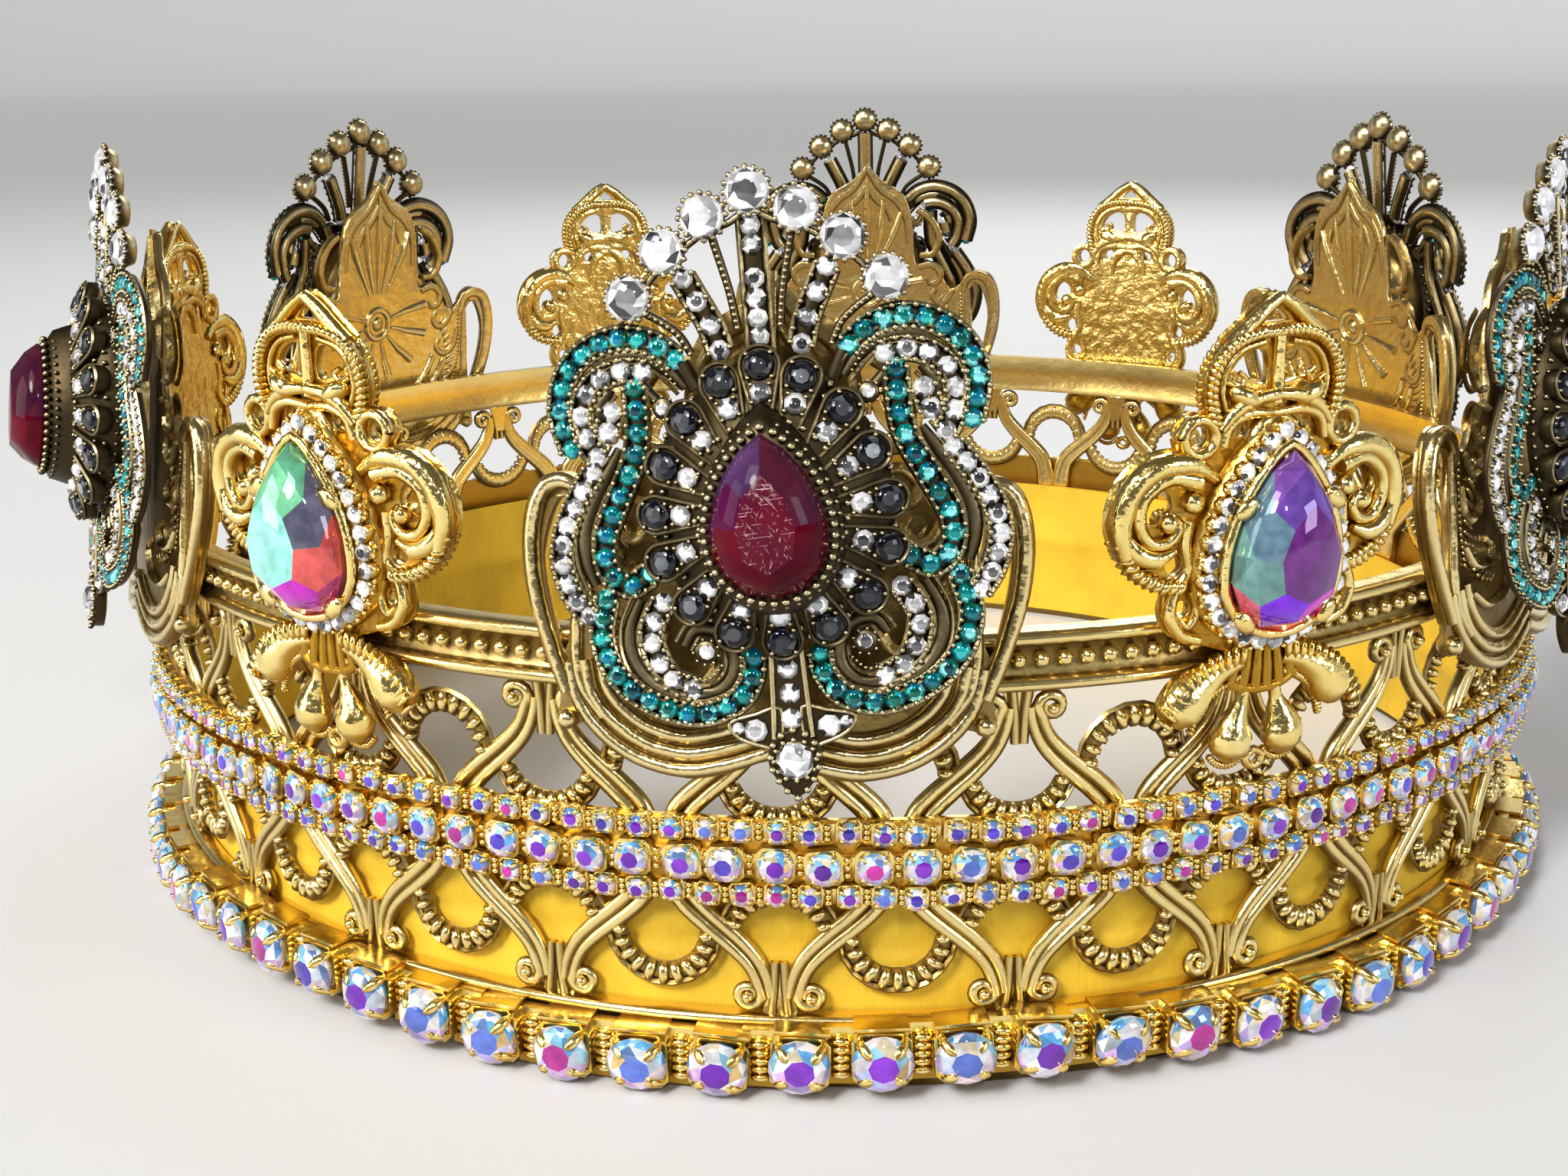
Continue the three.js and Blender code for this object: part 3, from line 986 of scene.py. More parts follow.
# ---------------------------------------------------------------- the pierced wall
@dataclass
class ScrollWall:
    """The pierced wall: bars with scroll heads, gadrooned arches, a rim and a beaded rail."""

    rib_r: float = 0.80
    rib_gap: float = 0.88  # each rib's distance from the bar's middle line
    bar: tuple[Point, ...] = (
        (10.3, -0.3), (10.2, 2.0), (9.5, 4.4), (7.7, 6.4), (4.8, 8.95), (2.9, 11.0), (1.9, 13.0),
        (1.45, 15.0),
    )
    head: Point = (3.15, 14.75)
    head_r: float = 1.4
    gadroons: int = 11
    arch_middle: Point = (PITCH / 2, 8.35)
    arch_r: float = 4.75
    cradle_middle: Point = (0, 8.9)
    cradle_r: float = 5.0
    gadroon_size: tuple[float, float, float] = (1.45, 0.9, 0.66)  # along, forwards and round
    bead_r: float = 0.86
    beads: int = 246
    web: tuple[Point, ...] = (  # the plate between a node's heads
        (-0.9, 12.6), (0.9, 12.6), (1.3, 15.2), (1.9, 16.9), (-1.9, 16.9), (-1.3, 15.2),
    )
    wires: tuple[Point, ...] = ((0.8, 11.2), (1, 14.2), (1.5, 16.9))  # up the middle of a node
    wires_apart: float = 0.55  # their distance from its middle line

    def bar_side(self) -> Stock:
        """The right-hand bar of a node, with its scroll head, in the upper tier."""
        middle = Route.through(self.bar, 3)
        face = WALL_R - 0.15
        inner = middle.beside(self.rib_gap, 0.5)
        outer = middle.beside(-self.rib_gap, -0.45)
        curl = Route.curl(self.head, (self.head_r, 0.55), (170, -200), 15)
        scroll = Route(outer.points[:-2]) + curl
        rib = (self.rib_r, self.rib_r, self.rib_r * 0.72)
        taper = (self.rib_r, self.rib_r, self.rib_r * 0.8, 0.62, 0.5)
        web = Bench.wire(middle, (1.3, 1.3, 0.8), WALL_BACK_R + 0.35, 4, flat=0.32)
        eye = Bench.ball(0.62, 6, 4).shifted(self.head[0], self.head[1], WALL_R + 0.15)
        return pile([
            Bench.wire(inner, rib, face - 0.5, 6), Bench.wire(scroll, taper, face - 0.5), web, eye
        ])

    def gadrooned(self, middle: Point, radius: float, turns: Point, count: int) -> Stock:
        """A crescent of gadroons on a flat strip.

        Args:
            middle: centre of its arc.
            radius: radius of its middle line.
            turns: angles between which it runs, in degrees.
            count: how many gadroons it has.

        Returns:
            The crescent.
        """
        lobe = Bench.ball(1, 6, 4, self.gadroon_size)
        line = Route.curl(middle, (radius, radius), turns, 10)
        outward = -1.15 if turns[1] > turns[0] else 1.15
        parts = [
            Bench.wire(line, (0.95, 1.25, 0.95), WALL_BACK_R + 0.5, 4, flat=0.45),
            Bench.wire(line.beside(outward), (0.25, 0.34, 0.25), WALL_R - 0.55, 4),
        ]
        for a, share in zip(np.linspace(*turns, count), np.linspace(0, math.pi, count)):
            size = 0.62 + 0.38 * math.sin(share)
            reach = radius + 0.7 * (size - 1)
            c, s = math.cos(math.radians(a)), math.sin(math.radians(a))
            slim = Matrix.Diagonal((size, 1, 0.5 + 0.5 * size, 1))
            gadroon = lobe.moved(Matrix.Rotation(-math.radians(a), 4, "Y") @ slim)
            gadroon = gadroon.shifted(reach * c, reach * s, WALL_R - 0.55)
            parts.append(gadroon.shifted(*middle))
        return pile(parts)

    def tier(self) -> Stock:
        """The upper tier of one repeat, from the middle of the wall up."""
        side = self.bar_side()
        wires = np.array(self.wires)
        return pile([
            side,
            side.mirrored(),
            self.gadrooned(self.arch_middle, self.arch_r, (4, 176), self.gadroons),
            self.gadrooned(self.cradle_middle, self.cradle_r, (-22, -158), self.gadroons - 1),
            Bench.plate(Route(self.web), WALL_BACK_R, WALL_R - 1.0, bevel=0.1),
            *(
                Bench.wire(Route(wires * [x, 1]), 0.5, WALL_R - 0.7, 6)
                for x in (-self.wires_apart, self.wires_apart)
            ),
        ])

    def lattice(self) -> Stock:
        """All the bars and arches, round the whole crown."""
        upper = self.tier()
        lower = upper.moved(Matrix.Diagonal((1, 1, -1, 1)))
        repeat = pile([upper, lower]).shifted(up=MIRROR_Z)
        return pile(repeat.bent(i * 360 / REPEATS) for i in range(REPEATS))

    def rim(self) -> Stock:
        """The plain strip behind the base chain."""
        inner, outer = WALL_BACK_R, WALL_R
        soft = 0.3
        return Bench.hoop(
            [
                (inner, 0), (outer - soft, 0), (outer, soft), (outer, RIM_TOP - 1.1),
                (outer + 0.45, RIM_TOP - 0.7), (outer + 0.45, RIM_TOP - 0.2),
                (outer - 0.1, RIM_TOP), (inner, RIM_TOP),
            ],
            REPEATS * 6,
        )

    def rail(self) -> Stock:
        """The rail: a rib along its top and its bottom, and beads in the groove between them."""
        inner, groove = WALL_BACK_R, WALL_R - 0.1
        rib = [(0, 0), (0.75, 0.08), (1.15, 0.45), (1.2, 0.85), (0.9, 1.25), (0.35, 1.45), (0, 1.6)]
        profile = [(inner, RAIL_LOW)]
        profile += [(groove + out, RAIL_LOW + up) for out, up in rib]
        profile += [(groove + out, RAIL_TOP - up) for out, up in reversed(rib)]
        profile += [
            (inner, RAIL_TOP), (inner + 0.35, RAIL_TOP - 1.5), (inner + 0.35, RAIL_LOW + 1.5)
        ]
        grain = Bench.ball(self.bead_r, 7, 5).shifted(
            up=(RAIL_LOW + RAIL_TOP) / 2 + 0.1, out=WALL_R + 0.15
        )
        return pile([
            Bench.hoop(profile, REPEATS * 8),
            *(grain.turned(i / self.beads) for i in range(self.beads)),
        ])

    def build(self, shop: Workshop) -> None:
        """Makes the wall's three pieces, which together stand for the pierced wall."""
        low, high = WALL_BACK_R + 0.6, WALL_R + 0.3
        lattice = self.lattice().shaded_and_grimed_by_radius(low, high)
        shop.fit("scroll_lattice", lattice, PALE_GOLD, ["filigree_band"])
        shop.fit("rim_strip", self.rim().shaded_and_grimed_by_radius(low, high), PALE_GOLD)
        shop.fit("beaded_rail", self.rail().shaded_and_grimed_by_radius(WALL_R - 0.6, WALL_R + 0.9), PALE_GOLD)


@dataclass
class Lining:
    """The satin ribbon that lines the wall's lower half."""

    outer: float = 88.2
    inner: float = 87.2
    low: float = 1.4
    top: float = 24.4
    crease: float = 14.6

    def build(self, shop: Workshop) -> None:
        """Makes the ribbon, with its crease pressed in."""
        rise = self.crease
        outside = [
            (self.outer, self.low), (self.outer + 0.1, rise - 6), (self.outer, rise - 0.9),
            (self.outer - 0.5, rise), (self.outer, rise + 0.9), (self.outer + 0.1, rise + 6),
            (self.outer, self.top),
        ]
        inside = [(r - (self.outer - self.inner), z) for r, z in reversed(outside)]
        stock = Bench.hoop(outside + inside, REPEATS * 6)
        shop.fit("satin_lining", stock, RIBBON, ["lining"])


# ---------------------------------------------------------------- stones and their cups
class Glass(Enum):
    """The kinds of cut glass on the crown, each with its finish."""

    AURORA = AURORA
    CLEAR = CLEAR
    TEAL = TEAL
    BLACK = BLACK


# Aurora facets are painted with the coating's colours and with reflections: sky-blue on upper
# facets, lilac and pink on lower ones, white and gold on the sides.
AURORA_TABLES = (
    (0.10, 0.06, 0.62), (0.16, 0.01, 0.46), (0.60, 0.03, 0.36), (0.12, 0.20, 0.72),
    (0.24, 0.03, 0.60),
)
AURORA_UPPER = (
    (0.16, 0.50, 0.95), (0.36, 0.74, 1.0), (0.90, 0.94, 1.0), (0.92, 0.80, 0.55),
    (0.96, 0.90, 0.94), (0.2, 0.34, 0.7),
)
AURORA_SIDES = (
    (1.0, 0.98, 0.95), (0.95, 0.80, 0.45), (0.90, 0.85, 0.98), (0.55, 0.62, 0.70),
    (0.72, 0.50, 0.20),
)
AURORA_LOWER = (
    (0.95, 0.92, 1.0), (0.80, 0.50, 0.86), (0.52, 0.56, 0.95), (0.98, 0.78, 0.84),
    (0.55, 0.42, 0.80),
)
# clear facets are painted bright and dark, as reflections
CLEAR_REFLECTIONS = (1.0, 1.0, 1.0, 0.95, 0.85, 0.6, 0.35, 0.14, 0.05)
# greys painted on the tables of black stones, as reflections
BLACK_TABLE_REFLECTIONS = (0.03, 0.06, 0.14, 0.30)
# the glass's own teal, with painted bright glints and painted dark facets
TEAL_TONES_AND_GLINTS = (
    (0.0, 0.16, 0.20), (0.0, 0.26, 0.24), (0.0, 0.05, 0.06), (0.02, 0.52, 0.50), (0.0, 0.13, 0.09),
    (0.0, 0.20, 0.34), (0.25, 0.85, 0.85),
)

STONE_TILT = 4  # how far out of true a stone may sit, in degrees
LARGE_STONE = 1.25  # radius above which a stone has more facets
TABLE = 0.97  # a facet that faces forwards by more than this is the table
SLOPE = 0.12  # a facet that faces up or down by more than this is painted with a reflection from above or below


class Cutter:
    """Cuts stones of radius 1, with the girdle at out = 0, and paints their facets with colour and
    reflections.
    """

    def __init__(self) -> None:
        """Cuts one stone of each kind, and starts the one run of random numbers."""
        self.random = np.random.default_rng(12)
        self.large = self.cut(16, 8, 0.49)
        self.small = self.cut(8, 8, 0.52)

    def cut(self, girdle: int, facets: int, table: float) -> Stock:
        """A round stone.

        Args:
            girdle: sides of its girdle.
            facets: sides of its table.
            table: radius of its table.

        Returns:
            The stone.
        """
        levels = [(circle(girdle, 0.92), -0.22), (circle(girdle), 0.0)]
        if girdle > facets:
            levels.append((circle(facets, 0.84, 0.5), 0.18))
        levels.append((circle(facets, table), 0.36))
        return Bench.rings(levels)

    def pick(self, choices: Sequence[object], count: int) -> np.ndarray:
        """A random choice for each of some facets."""
        return np.array(choices, float)[self.random.integers(len(choices), size=count)]

    def coloured(self, stone: Stock, glass: Glass) -> Stock:
        """A copy of a stone with its facets painted in the glass's colours, with painted
        reflections, glints and shade.
        """
        facing = stone.facets()
        count = len(facing)
        if glass is Glass.CLEAR:
            shade = self.pick(CLEAR_REFLECTIONS, count)
            return stone.painted(np.column_stack([shade, shade, shade * 1.02]))
        if glass is Glass.TEAL:
            return stone.painted(self.pick(TEAL_TONES_AND_GLINTS, count))
        if glass is Glass.BLACK:
            # a painted sheen on a few facets, and a painted reflection on the table
            sheen = self.random.random(count)[:, None] ** 6 * 0.12
            sheen[facing[:, 1] < -TABLE] = self.random.choice(BLACK_TABLE_REFLECTIONS)
            return stone.painted(0.004 + sheen * np.array([0.9, 0.98, 1.06]))
        colours = self.pick(AURORA_SIDES, count)
        up = facing[:, 2]
        for chosen, choices in ((up > SLOPE, AURORA_UPPER), (up < -SLOPE, AURORA_LOWER)):
            colours[chosen] = self.pick(choices, int(chosen.sum()))
        colours[facing[:, 1] < -TABLE] = self.pick(AURORA_TABLES, 1)
        return stone.painted(colours * (0.55 + 0.45 * self.random.random((count, 1))))

    def stone(self, glass: Glass, radius: float) -> Stock:
        """One round stone.

        Args:
            glass: what it is cut from.
            radius: its radius.

        Returns:
            The stone, at the origin.
        """
        lean = np.radians(self.random.normal(0, STONE_TILT, 2))
        spin = Matrix.Rotation(self.random.random() * math.pi / 4, 4, "Y")
        place = Matrix.Rotation(lean[0], 4, "X") @ Matrix.Rotation(lean[1], 4, "Z") @ spin
        shape = self.large if radius > LARGE_STONE else self.small
        return self.coloured(shape.moved(place @ Matrix.Scale(radius, 4)), glass)


@dataclass
class ClawCup:
    """A square open cup whose corner claws bend over a round stone."""

    half: float
    depth: float
    wall: float = 0.3
    claw_r: float = 0.42
    claw_rise: float = 1.1
    claw_sides: int = 6
    claw_rows: int = 4
    claw_lean: float = 34  # how far each claw leans in, in degrees

    def square(self, half: float) -> np.ndarray:
        """A square outline with cut corners."""
        side = half * np.array([(1, -0.72), (1, 0.72)])
        return np.vstack([side, side[::-1, ::-1], -side, -side[::-1, ::-1]])

    def cup(self) -> Stock:
        """The cup, with its back at out = 0."""
        inner = self.half - self.wall
        box = Bench.rings([
            (self.square(self.half * 0.9), 0.0),
            (self.square(self.half), self.depth * 0.4),
            (self.square(self.half), self.depth),
            (self.square(inner), self.depth),
            (self.square(inner * 0.85), self.depth * 0.45),
        ])
        return pile([box.shaded_and_grimed(0.1, 0.8), *self.claws()])

    def claws(self) -> list[Stock]:
        """The four claws, each leaning in from its corner."""
        claw = Bench.ball(
            1, self.claw_sides, self.claw_rows, (self.claw_r, self.claw_r, self.claw_rise * 0.7)
        ).shaded_and_grimed(0.6, 1)
        reach = self.half * 0.86
        stand = Matrix.Rotation(math.pi / 2, 4, "X")
        made = []
        for quarter in range(4):
            turn = Matrix.Rotation(math.radians(45 + 90 * quarter), 4, "Y")
            lean = Matrix.Rotation(math.radians(-self.claw_lean), 4, "Z")
            place = Matrix.Translation((reach, -(self.depth + self.claw_rise * 0.42), 0))
            made.append(claw.moved(turn @ place @ lean @ stand))
        return made


def bar(width: float, height: float, back: float, front: float) -> Stock:
    """A plain block, centred across and in height."""
    Bench.clear()
    bpy.ops.mesh.primitive_cube_add(size=1)
    block = bpy.context.object
    block.scale = (width, front - back, height)
    bpy.ops.object.transform_apply(location=False, rotation=False, scale=True)
    return Bench.take(block).shifted(out=(front + back) / 2).shaded_and_grimed(0.2, 0.7)


@dataclass
class BaseChain:
    """The chain of large stones round the foot, wired on by hand, so that it waves a little."""

    stones: int = 72
    stretches: int = 12
    first: float = 1.4  # where its first stone sits, in degrees from the front
    stone_r: float = 3.0
    seat_r: float = 90.35
    rim_r: float = 93.7
    middle_z: float = 4.3
    wave: float = 0.85
    waves: int = 7
    wander: float = 0.08  # how unevenly high its stones sit
    sway: float = 2.5  # how far they are turned, in degrees

    def height(self, turn: float) -> float:
        """Height of the stone that sits at a turn, in degrees."""
        return self.middle_z + self.wave * math.sin(math.radians(self.waves * (turn - self.first)))

    def build(self, shop: Workshop, cutter: Cutter) -> None:
        """Makes each stretch's cups and stones."""
        depth = self.rim_r - self.seat_r - 0.7
        cup = ClawCup(2.85, depth, wall=0.35, claw_r=0.62, claw_rise=2.1).cup()
        tab = bar(3.6, 6.2, self.seat_r, self.seat_r + 1.2).shaded_and_grimed(0.1, 0.7)
        grain = Bench.ball(1, 6, 4, (1.15, 0.75, 0.5)).shaded_and_grimed(0.1, 1)
        tab = pile([
            tab, *(grain.shifted(0, z, self.seat_r + 1.5) for z in (-1.8, -0.9, 0, 0.9, 1.8))
        ])
        hood = bar(5.4, 0.4, WALL_R - 0.2, self.rim_r - 0.9).shifted(up=3.1)
        cup = pile([cup.shifted(out=self.seat_r), hood])
        count = self.stones // self.stretches
        step = 360 / self.stones
        for stretch in range(self.stretches):
            cups, stones = [], []
            for i in range(count):
                turn = self.first + (stretch * count + i) * step
                up = self.height(turn) + cutter.random.normal(0, self.wander)
                sway = math.radians(cutter.random.normal(0, self.sway))
                cups.append(cup.moved(Matrix.Rotation(sway, 4, "Y")).shifted(up=up).bent(turn))
                link = tab.shifted(up=(up + self.height(turn + step)) / 2)
                cups.append(link.bent(turn + step / 2))
                gem = cutter.stone(Glass.AURORA, self.stone_r)
                stones.append(gem.shifted(up=up, out=self.rim_r + 0.1).bent(turn))
            number = f"{stretch + 1:02d}"
            shop.fit(f"base_cups_{number}", pile(cups), CUP_GOLD, [f"base_chain_{number}"])
            shop.fit(f"base_stones_{number}", pile(stones), AURORA)


@dataclass
class StoneRow:
    """One row of the stone band."""

    count: int
    up: float
    stone_r: float
    cup_half: float
    cup_depth: float
    tie_half: float  # half the height of the square ties between its cups


@dataclass
class StoneBand:
    """Three rows of small cups glued round the wall's middle."""

    rows: tuple[StoneRow, ...] = (
        StoneRow(168, 21.6, 1.15, 1.22, 1.35, 0.75),
        StoneRow(123, 24.9, 1.75, 1.8, 1.95, 1.0),
        StoneRow(168, 28.2, 1.15, 1.22, 1.35, 0.75),
    )
    back_r: float = 90.4
    sag: float = 0.9  # how much the band droops beside the left-hand ornaments
    sag_turn: float = -66
    sag_width: float = 22
    ripple: float = 0.22
    slip: float = 0.1  # how unevenly its cups are spaced, in degrees
    wander: float = 0.09  # how unevenly high they sit
    sway: float = 5  # how far they are turned, in degrees

    def droop(self, turn: float) -> float:
        """How far the band hangs down at a turn, in degrees."""
        away = (turn - self.sag_turn + 180) % 360 - 180
        ripple = self.ripple * math.sin(math.radians(5 * turn + 40))
        return self.sag * math.exp(-((away / self.sag_width) ** 2)) + ripple

    def build(self, shop: Workshop, cutter: Cutter) -> None:
        """Makes the band's cups and its stones."""
        cups, stones = [], []
        for course in self.rows:
            depth = course.cup_depth - 0.25
            cup = ClawCup(course.cup_half, depth, 0.2, 0.26, 0.95, claw_sides=4, claw_rows=3)
            cup = cup.cup().shifted(out=self.back_r)
            width = 2 * math.pi * self.back_r / course.count - 1.6 * course.cup_half
            front = self.back_r + course.cup_depth * 0.6
            tie = bar(width, 2 * course.tie_half, self.back_r, front).shaded_and_grimed(0.0, 0.6)
            grain = Bench.ball(1, 5, 3, (0.5, 0.4, 0.36)).shaded_and_grimed(0.2, 1)
            tie = pile([
                tie, *(grain.shifted(0, z * course.tie_half, front + 0.15) for z in (-0.8, 0, 0.8))
            ])
            for i in range(course.count):
                turn = i * 360 / course.count + cutter.random.normal(0, self.slip)
                up = course.up - self.droop(turn) + cutter.random.normal(0, self.wander)
                sway = math.radians(cutter.random.normal(0, self.sway))
                cups.append(cup.moved(Matrix.Rotation(sway, 4, "Y")).shifted(up=up).bent(turn))
                cups.append(tie.shifted(up=up).bent(turn + 180 / course.count))
                gem = cutter.stone(Glass.AURORA, course.stone_r)
                girdle = self.back_r + course.cup_depth + 0.08
                stones.append(gem.shifted(up=up, out=girdle).bent(turn))
        low, top = self.rows[0].up - 0.9, self.rows[-1].up + 0.9
        inner, outer = self.back_r - 0.4, self.back_r + 0.2
        strip = [(inner, low), (outer, low), (outer, top), (inner, top)]
        # a strip behind the cups, painted dark as shade between them, together with grime
        cups.append(Bench.hoop(strip, REPEATS * 4).shaded_and_grimed(0.1, 0.3))
        shop.fit("band_cups", pile(cups), CUP_GOLD, ["stone_band"])
        shop.fit("band_stones", pile(stones), AURORA)


# ---------------------------------------------------------------- pear stones
# Colours of the large aurora stones, painted as the coating's colours and reflections, with dark
# facets as painted shade: steep facets and shallow ones, each going round the stone anticlockwise
# from its right, and the table.
MINT_WHEEL = (
    (
        (0.56, 0.08, 0.07), (0.12, 0.12, 0.18), (0.10, 0.34, 0.20), (0.30, 0.34, 0.14),
        (0.16, 0.28, 0.34), (0.72, 0.22, 0.20), (0.62, 0.06, 0.20), (0.42, 0.03, 0.16),
    ),
    (
        (0.07, 0.03, 0.13), (0.10, 0.07, 0.16), (0.22, 0.66, 0.36), (0.24, 0.60, 0.38),
        (0.40, 1.0, 0.82), (0.62, 0.50, 0.66), (0.30, 0.01, 0.50), (0.45, 0.01, 0.42),
    ),
    (0.34, 0.86, 0.74),
)
VIOLET_WHEEL = (
    (
        (0.72, 0.14, 0.07), (0.40, 0.12, 0.10), (0.16, 0.06, 0.30), (0.10, 0.18, 0.24),
        (0.12, 0.26, 0.24), (0.62, 0.10, 0.16), (0.78, 0.10, 0.10), (0.80, 0.05, 0.30),
    ),
    (
        (0.14, 0.02, 0.15), (0.13, 0.05, 0.32), (0.16, 0.07, 0.40), (0.08, 0.26, 0.28),
        (0.10, 0.32, 0.26), (0.16, 0.01, 0.58), (0.24, 0.0, 0.60), (0.50, 0.0, 0.46),
    ),
    (0.13, 0.02, 0.18),
)
RUBY_SHADES = (
    (0.080, 0.001, 0.005), (0.100, 0.001, 0.008), (0.066, 0.001, 0.006), (0.074, 0.001, 0.005)
)
# Painted reflections on the ruby: sky purple high on its left, wine on the rest of its left, dim
# plum on its upper right.
RUBY_SKY_REFLECTION = (0.06, 0.022, 0.075)
RUBY_RIGHT_REFLECTION = (0.060, 0.009, 0.020)
RUBY_LEFT_REFLECTION = (0.066, 0.004, 0.036)
RUBY_TABLE = (0.090, 0.006, 0.014)


@dataclass(frozen=True)
class Pear:
    """A pear outline with its point up, measured from the stone's middle."""

    half: float
    top: float
    foot: float
    widest: float

    def route(self, count: int, share: float = 1, margin: float = 0) -> Route:
        """The outline.

        Args:
            count: its corners, an even number.
            share: its size, as a share of the whole.
            margin: how far outside the stone it runs.

        Returns:
            A closed route, anticlockwise from the top.
        """
        t = np.linspace(0, 1, 200)
        upper = np.column_stack([
            self.half * np.sin(t * math.pi / 2) ** 0.85,
            self.top + (self.widest - self.top) * t**1.15,
        ])
        lower = np.column_stack([
            self.half * np.cos(t * math.pi / 2),
            self.widest + (self.foot - self.widest) * np.sin(t * math.pi / 2),
        ])
        right = np.vstack([upper, lower[1:]])
        run = np.concatenate([[0], np.cumsum(np.linalg.norm(np.diff(right, axis=0), axis=1))])
        at = np.linspace(0, run[-1], count // 2 + 1)
        right = np.column_stack([np.interp(at, run, right[:, i]) for i in (0, 1)])
        whole = np.vstack([right * [-1, 1], right[-2:0:-1]])
        middle = np.array([0, self.widest * 0.4])
        whole = middle + (whole - middle) * share
        return Route(whole) if not margin else Route.widened(whole, margin)


@dataclass
class PearJewel:
    """A large pear-cut stone."""

    shape: Pear
    seat_r: float
    top_r: float
    corners: int = 16

    def cut(self, table: float, mid: float, tall: float = 1) -> Stock:
        """Cuts the stone.

        Args:
            table: size of its table, as a share of its outline.
            mid: size of the ring of corners half way up.
            tall: how far the table is drawn out upwards and downwards.

        Returns:
            The stone, at its own depth.
        """
        rise = self.top_r - self.seat_r
        top = self.shape.route(self.corners // 2, table).points * [1, tall]
        return Bench.rings([
            (self.shape.route(self.corners, 0.95).points, self.seat_r),
            (self.shape.route(self.corners).points, self.seat_r + rise * 0.2),
            (self.shape.route(self.corners // 2, mid).points, self.seat_r + rise * 0.58),
            (top, self.top_r - 0.1),
        ])

    def wheel(self, stone: Stock, cutter: Cutter, number: int) -> Stock:
        """Paints an aurora stone's facets, each by where it lies and faces, with the coating's
        colours and painted reflections.

        Args:
            stone: the cut stone.
            cutter: who has the random numbers.
            number: which of the six stones it is.

        Returns:
            The coloured stone.
        """
        facing, middles = stone.facets(), stone.middles()
        steep, shallow, table = (VIOLET_WHEEL, MINT_WHEEL)[number % 2]
        place = np.arctan2(middles[:, 2] - self.shape.widest / 2, middles[:, 0])
        turn = np.degrees(place) + (number % 5) * 45
        spoke = ((turn + 22.5) % 360 / 45).astype(int)
        slope = np.hypot(facing[:, 0], facing[:, 2])
        colours = np.where(
            (slope > 0.72)[:, None], np.array(steep)[spoke], np.array(shallow)[spoke]
        )
        colours[slope < 0.05] = table
        light = 0.75 + 0.5 * cutter.random.random((len(turn), 1))
        return stone.painted(np.clip(colours * light, 0, 1))

    def wine(self, stone: Stock, cutter: Cutter) -> Stock:
        """Colours a ruby in dark reds, with painted reflections: sky purple high on its left, wine
        on the rest of its left, and dim plum on its upper right.
        """
        facing, middles = stone.facets(), stone.middles()
        colours = cutter.pick(RUBY_SHADES, len(facing))
        left_reflection = (middles[:, 0] < 0) & (middles[:, 2] > -2.0)
        colours[left_reflection] = RUBY_LEFT_REFLECTION
        colours[left_reflection & (middles[:, 2] > 2.2)] = RUBY_SKY_REFLECTION
        colours[(middles[:, 0] > 0) & (middles[:, 2] > -1.0)] = RUBY_RIGHT_REFLECTION
        colours[facing[:, 1] < -0.99] = RUBY_TABLE
        return stone.painted(colours * (0.8 + 0.4 * cutter.random.random((len(facing), 1))))


# ---------------------------------------------------------------- trim
def row(
    part: Stock, route: Route, count: int, out: float | Sequence[float], skew: float = 0
) -> Stock:
    """Sets copies of a part evenly along a route, each turned to follow it.

    Args:
        part: what is repeated, made to lie along the route.
        route: where the copies go.
        count: how many there are.
        out: how far out they lie, or one for each end or copy.
        skew: how far each is turned off the route, in degrees.

    Returns:
        The row.
    """
    made = []
    for (across, up, heading), level in zip(route.spread(count), evenly(out, count)):
        spin = Matrix.Rotation(-math.radians(heading + skew), 4, "Y")
        made.append(part.moved(Matrix.Translation((across, -level, up)) @ spin))
    return pile(made)


def bead(radius: float) -> Stock:
    """A small bead, painted darker towards its back, as shade together with grime."""
    return Bench.ball(radius, 5, 3).shaded_and_grimed(0.3, 1)


@dataclass(frozen=True)
class Wire:
    """One wire of an ornament's relief, on its right half."""

    knots: tuple[Point, ...]
    radius: float | tuple[float, ...]
    rise: float  # how far its middle lies out from the plate's face
    sides: int = 6
    flat: float = 1  # its height over its width
    steps: int = 4

    def laid(self, face: float) -> Stock:
        """The wire, over a plate whose face is so far out."""
        route = Route.through(self.knots, self.steps)
        return Bench.wire(route, self.radius, face + self.rise, self.sides, flat=self.flat)


def sawn(right: np.ndarray) -> np.ndarray:
    """A whole outline from its right half, which starts and ends on the middle line."""
    return np.vstack([right, right[-2:0:-1] * [-1, 1]])


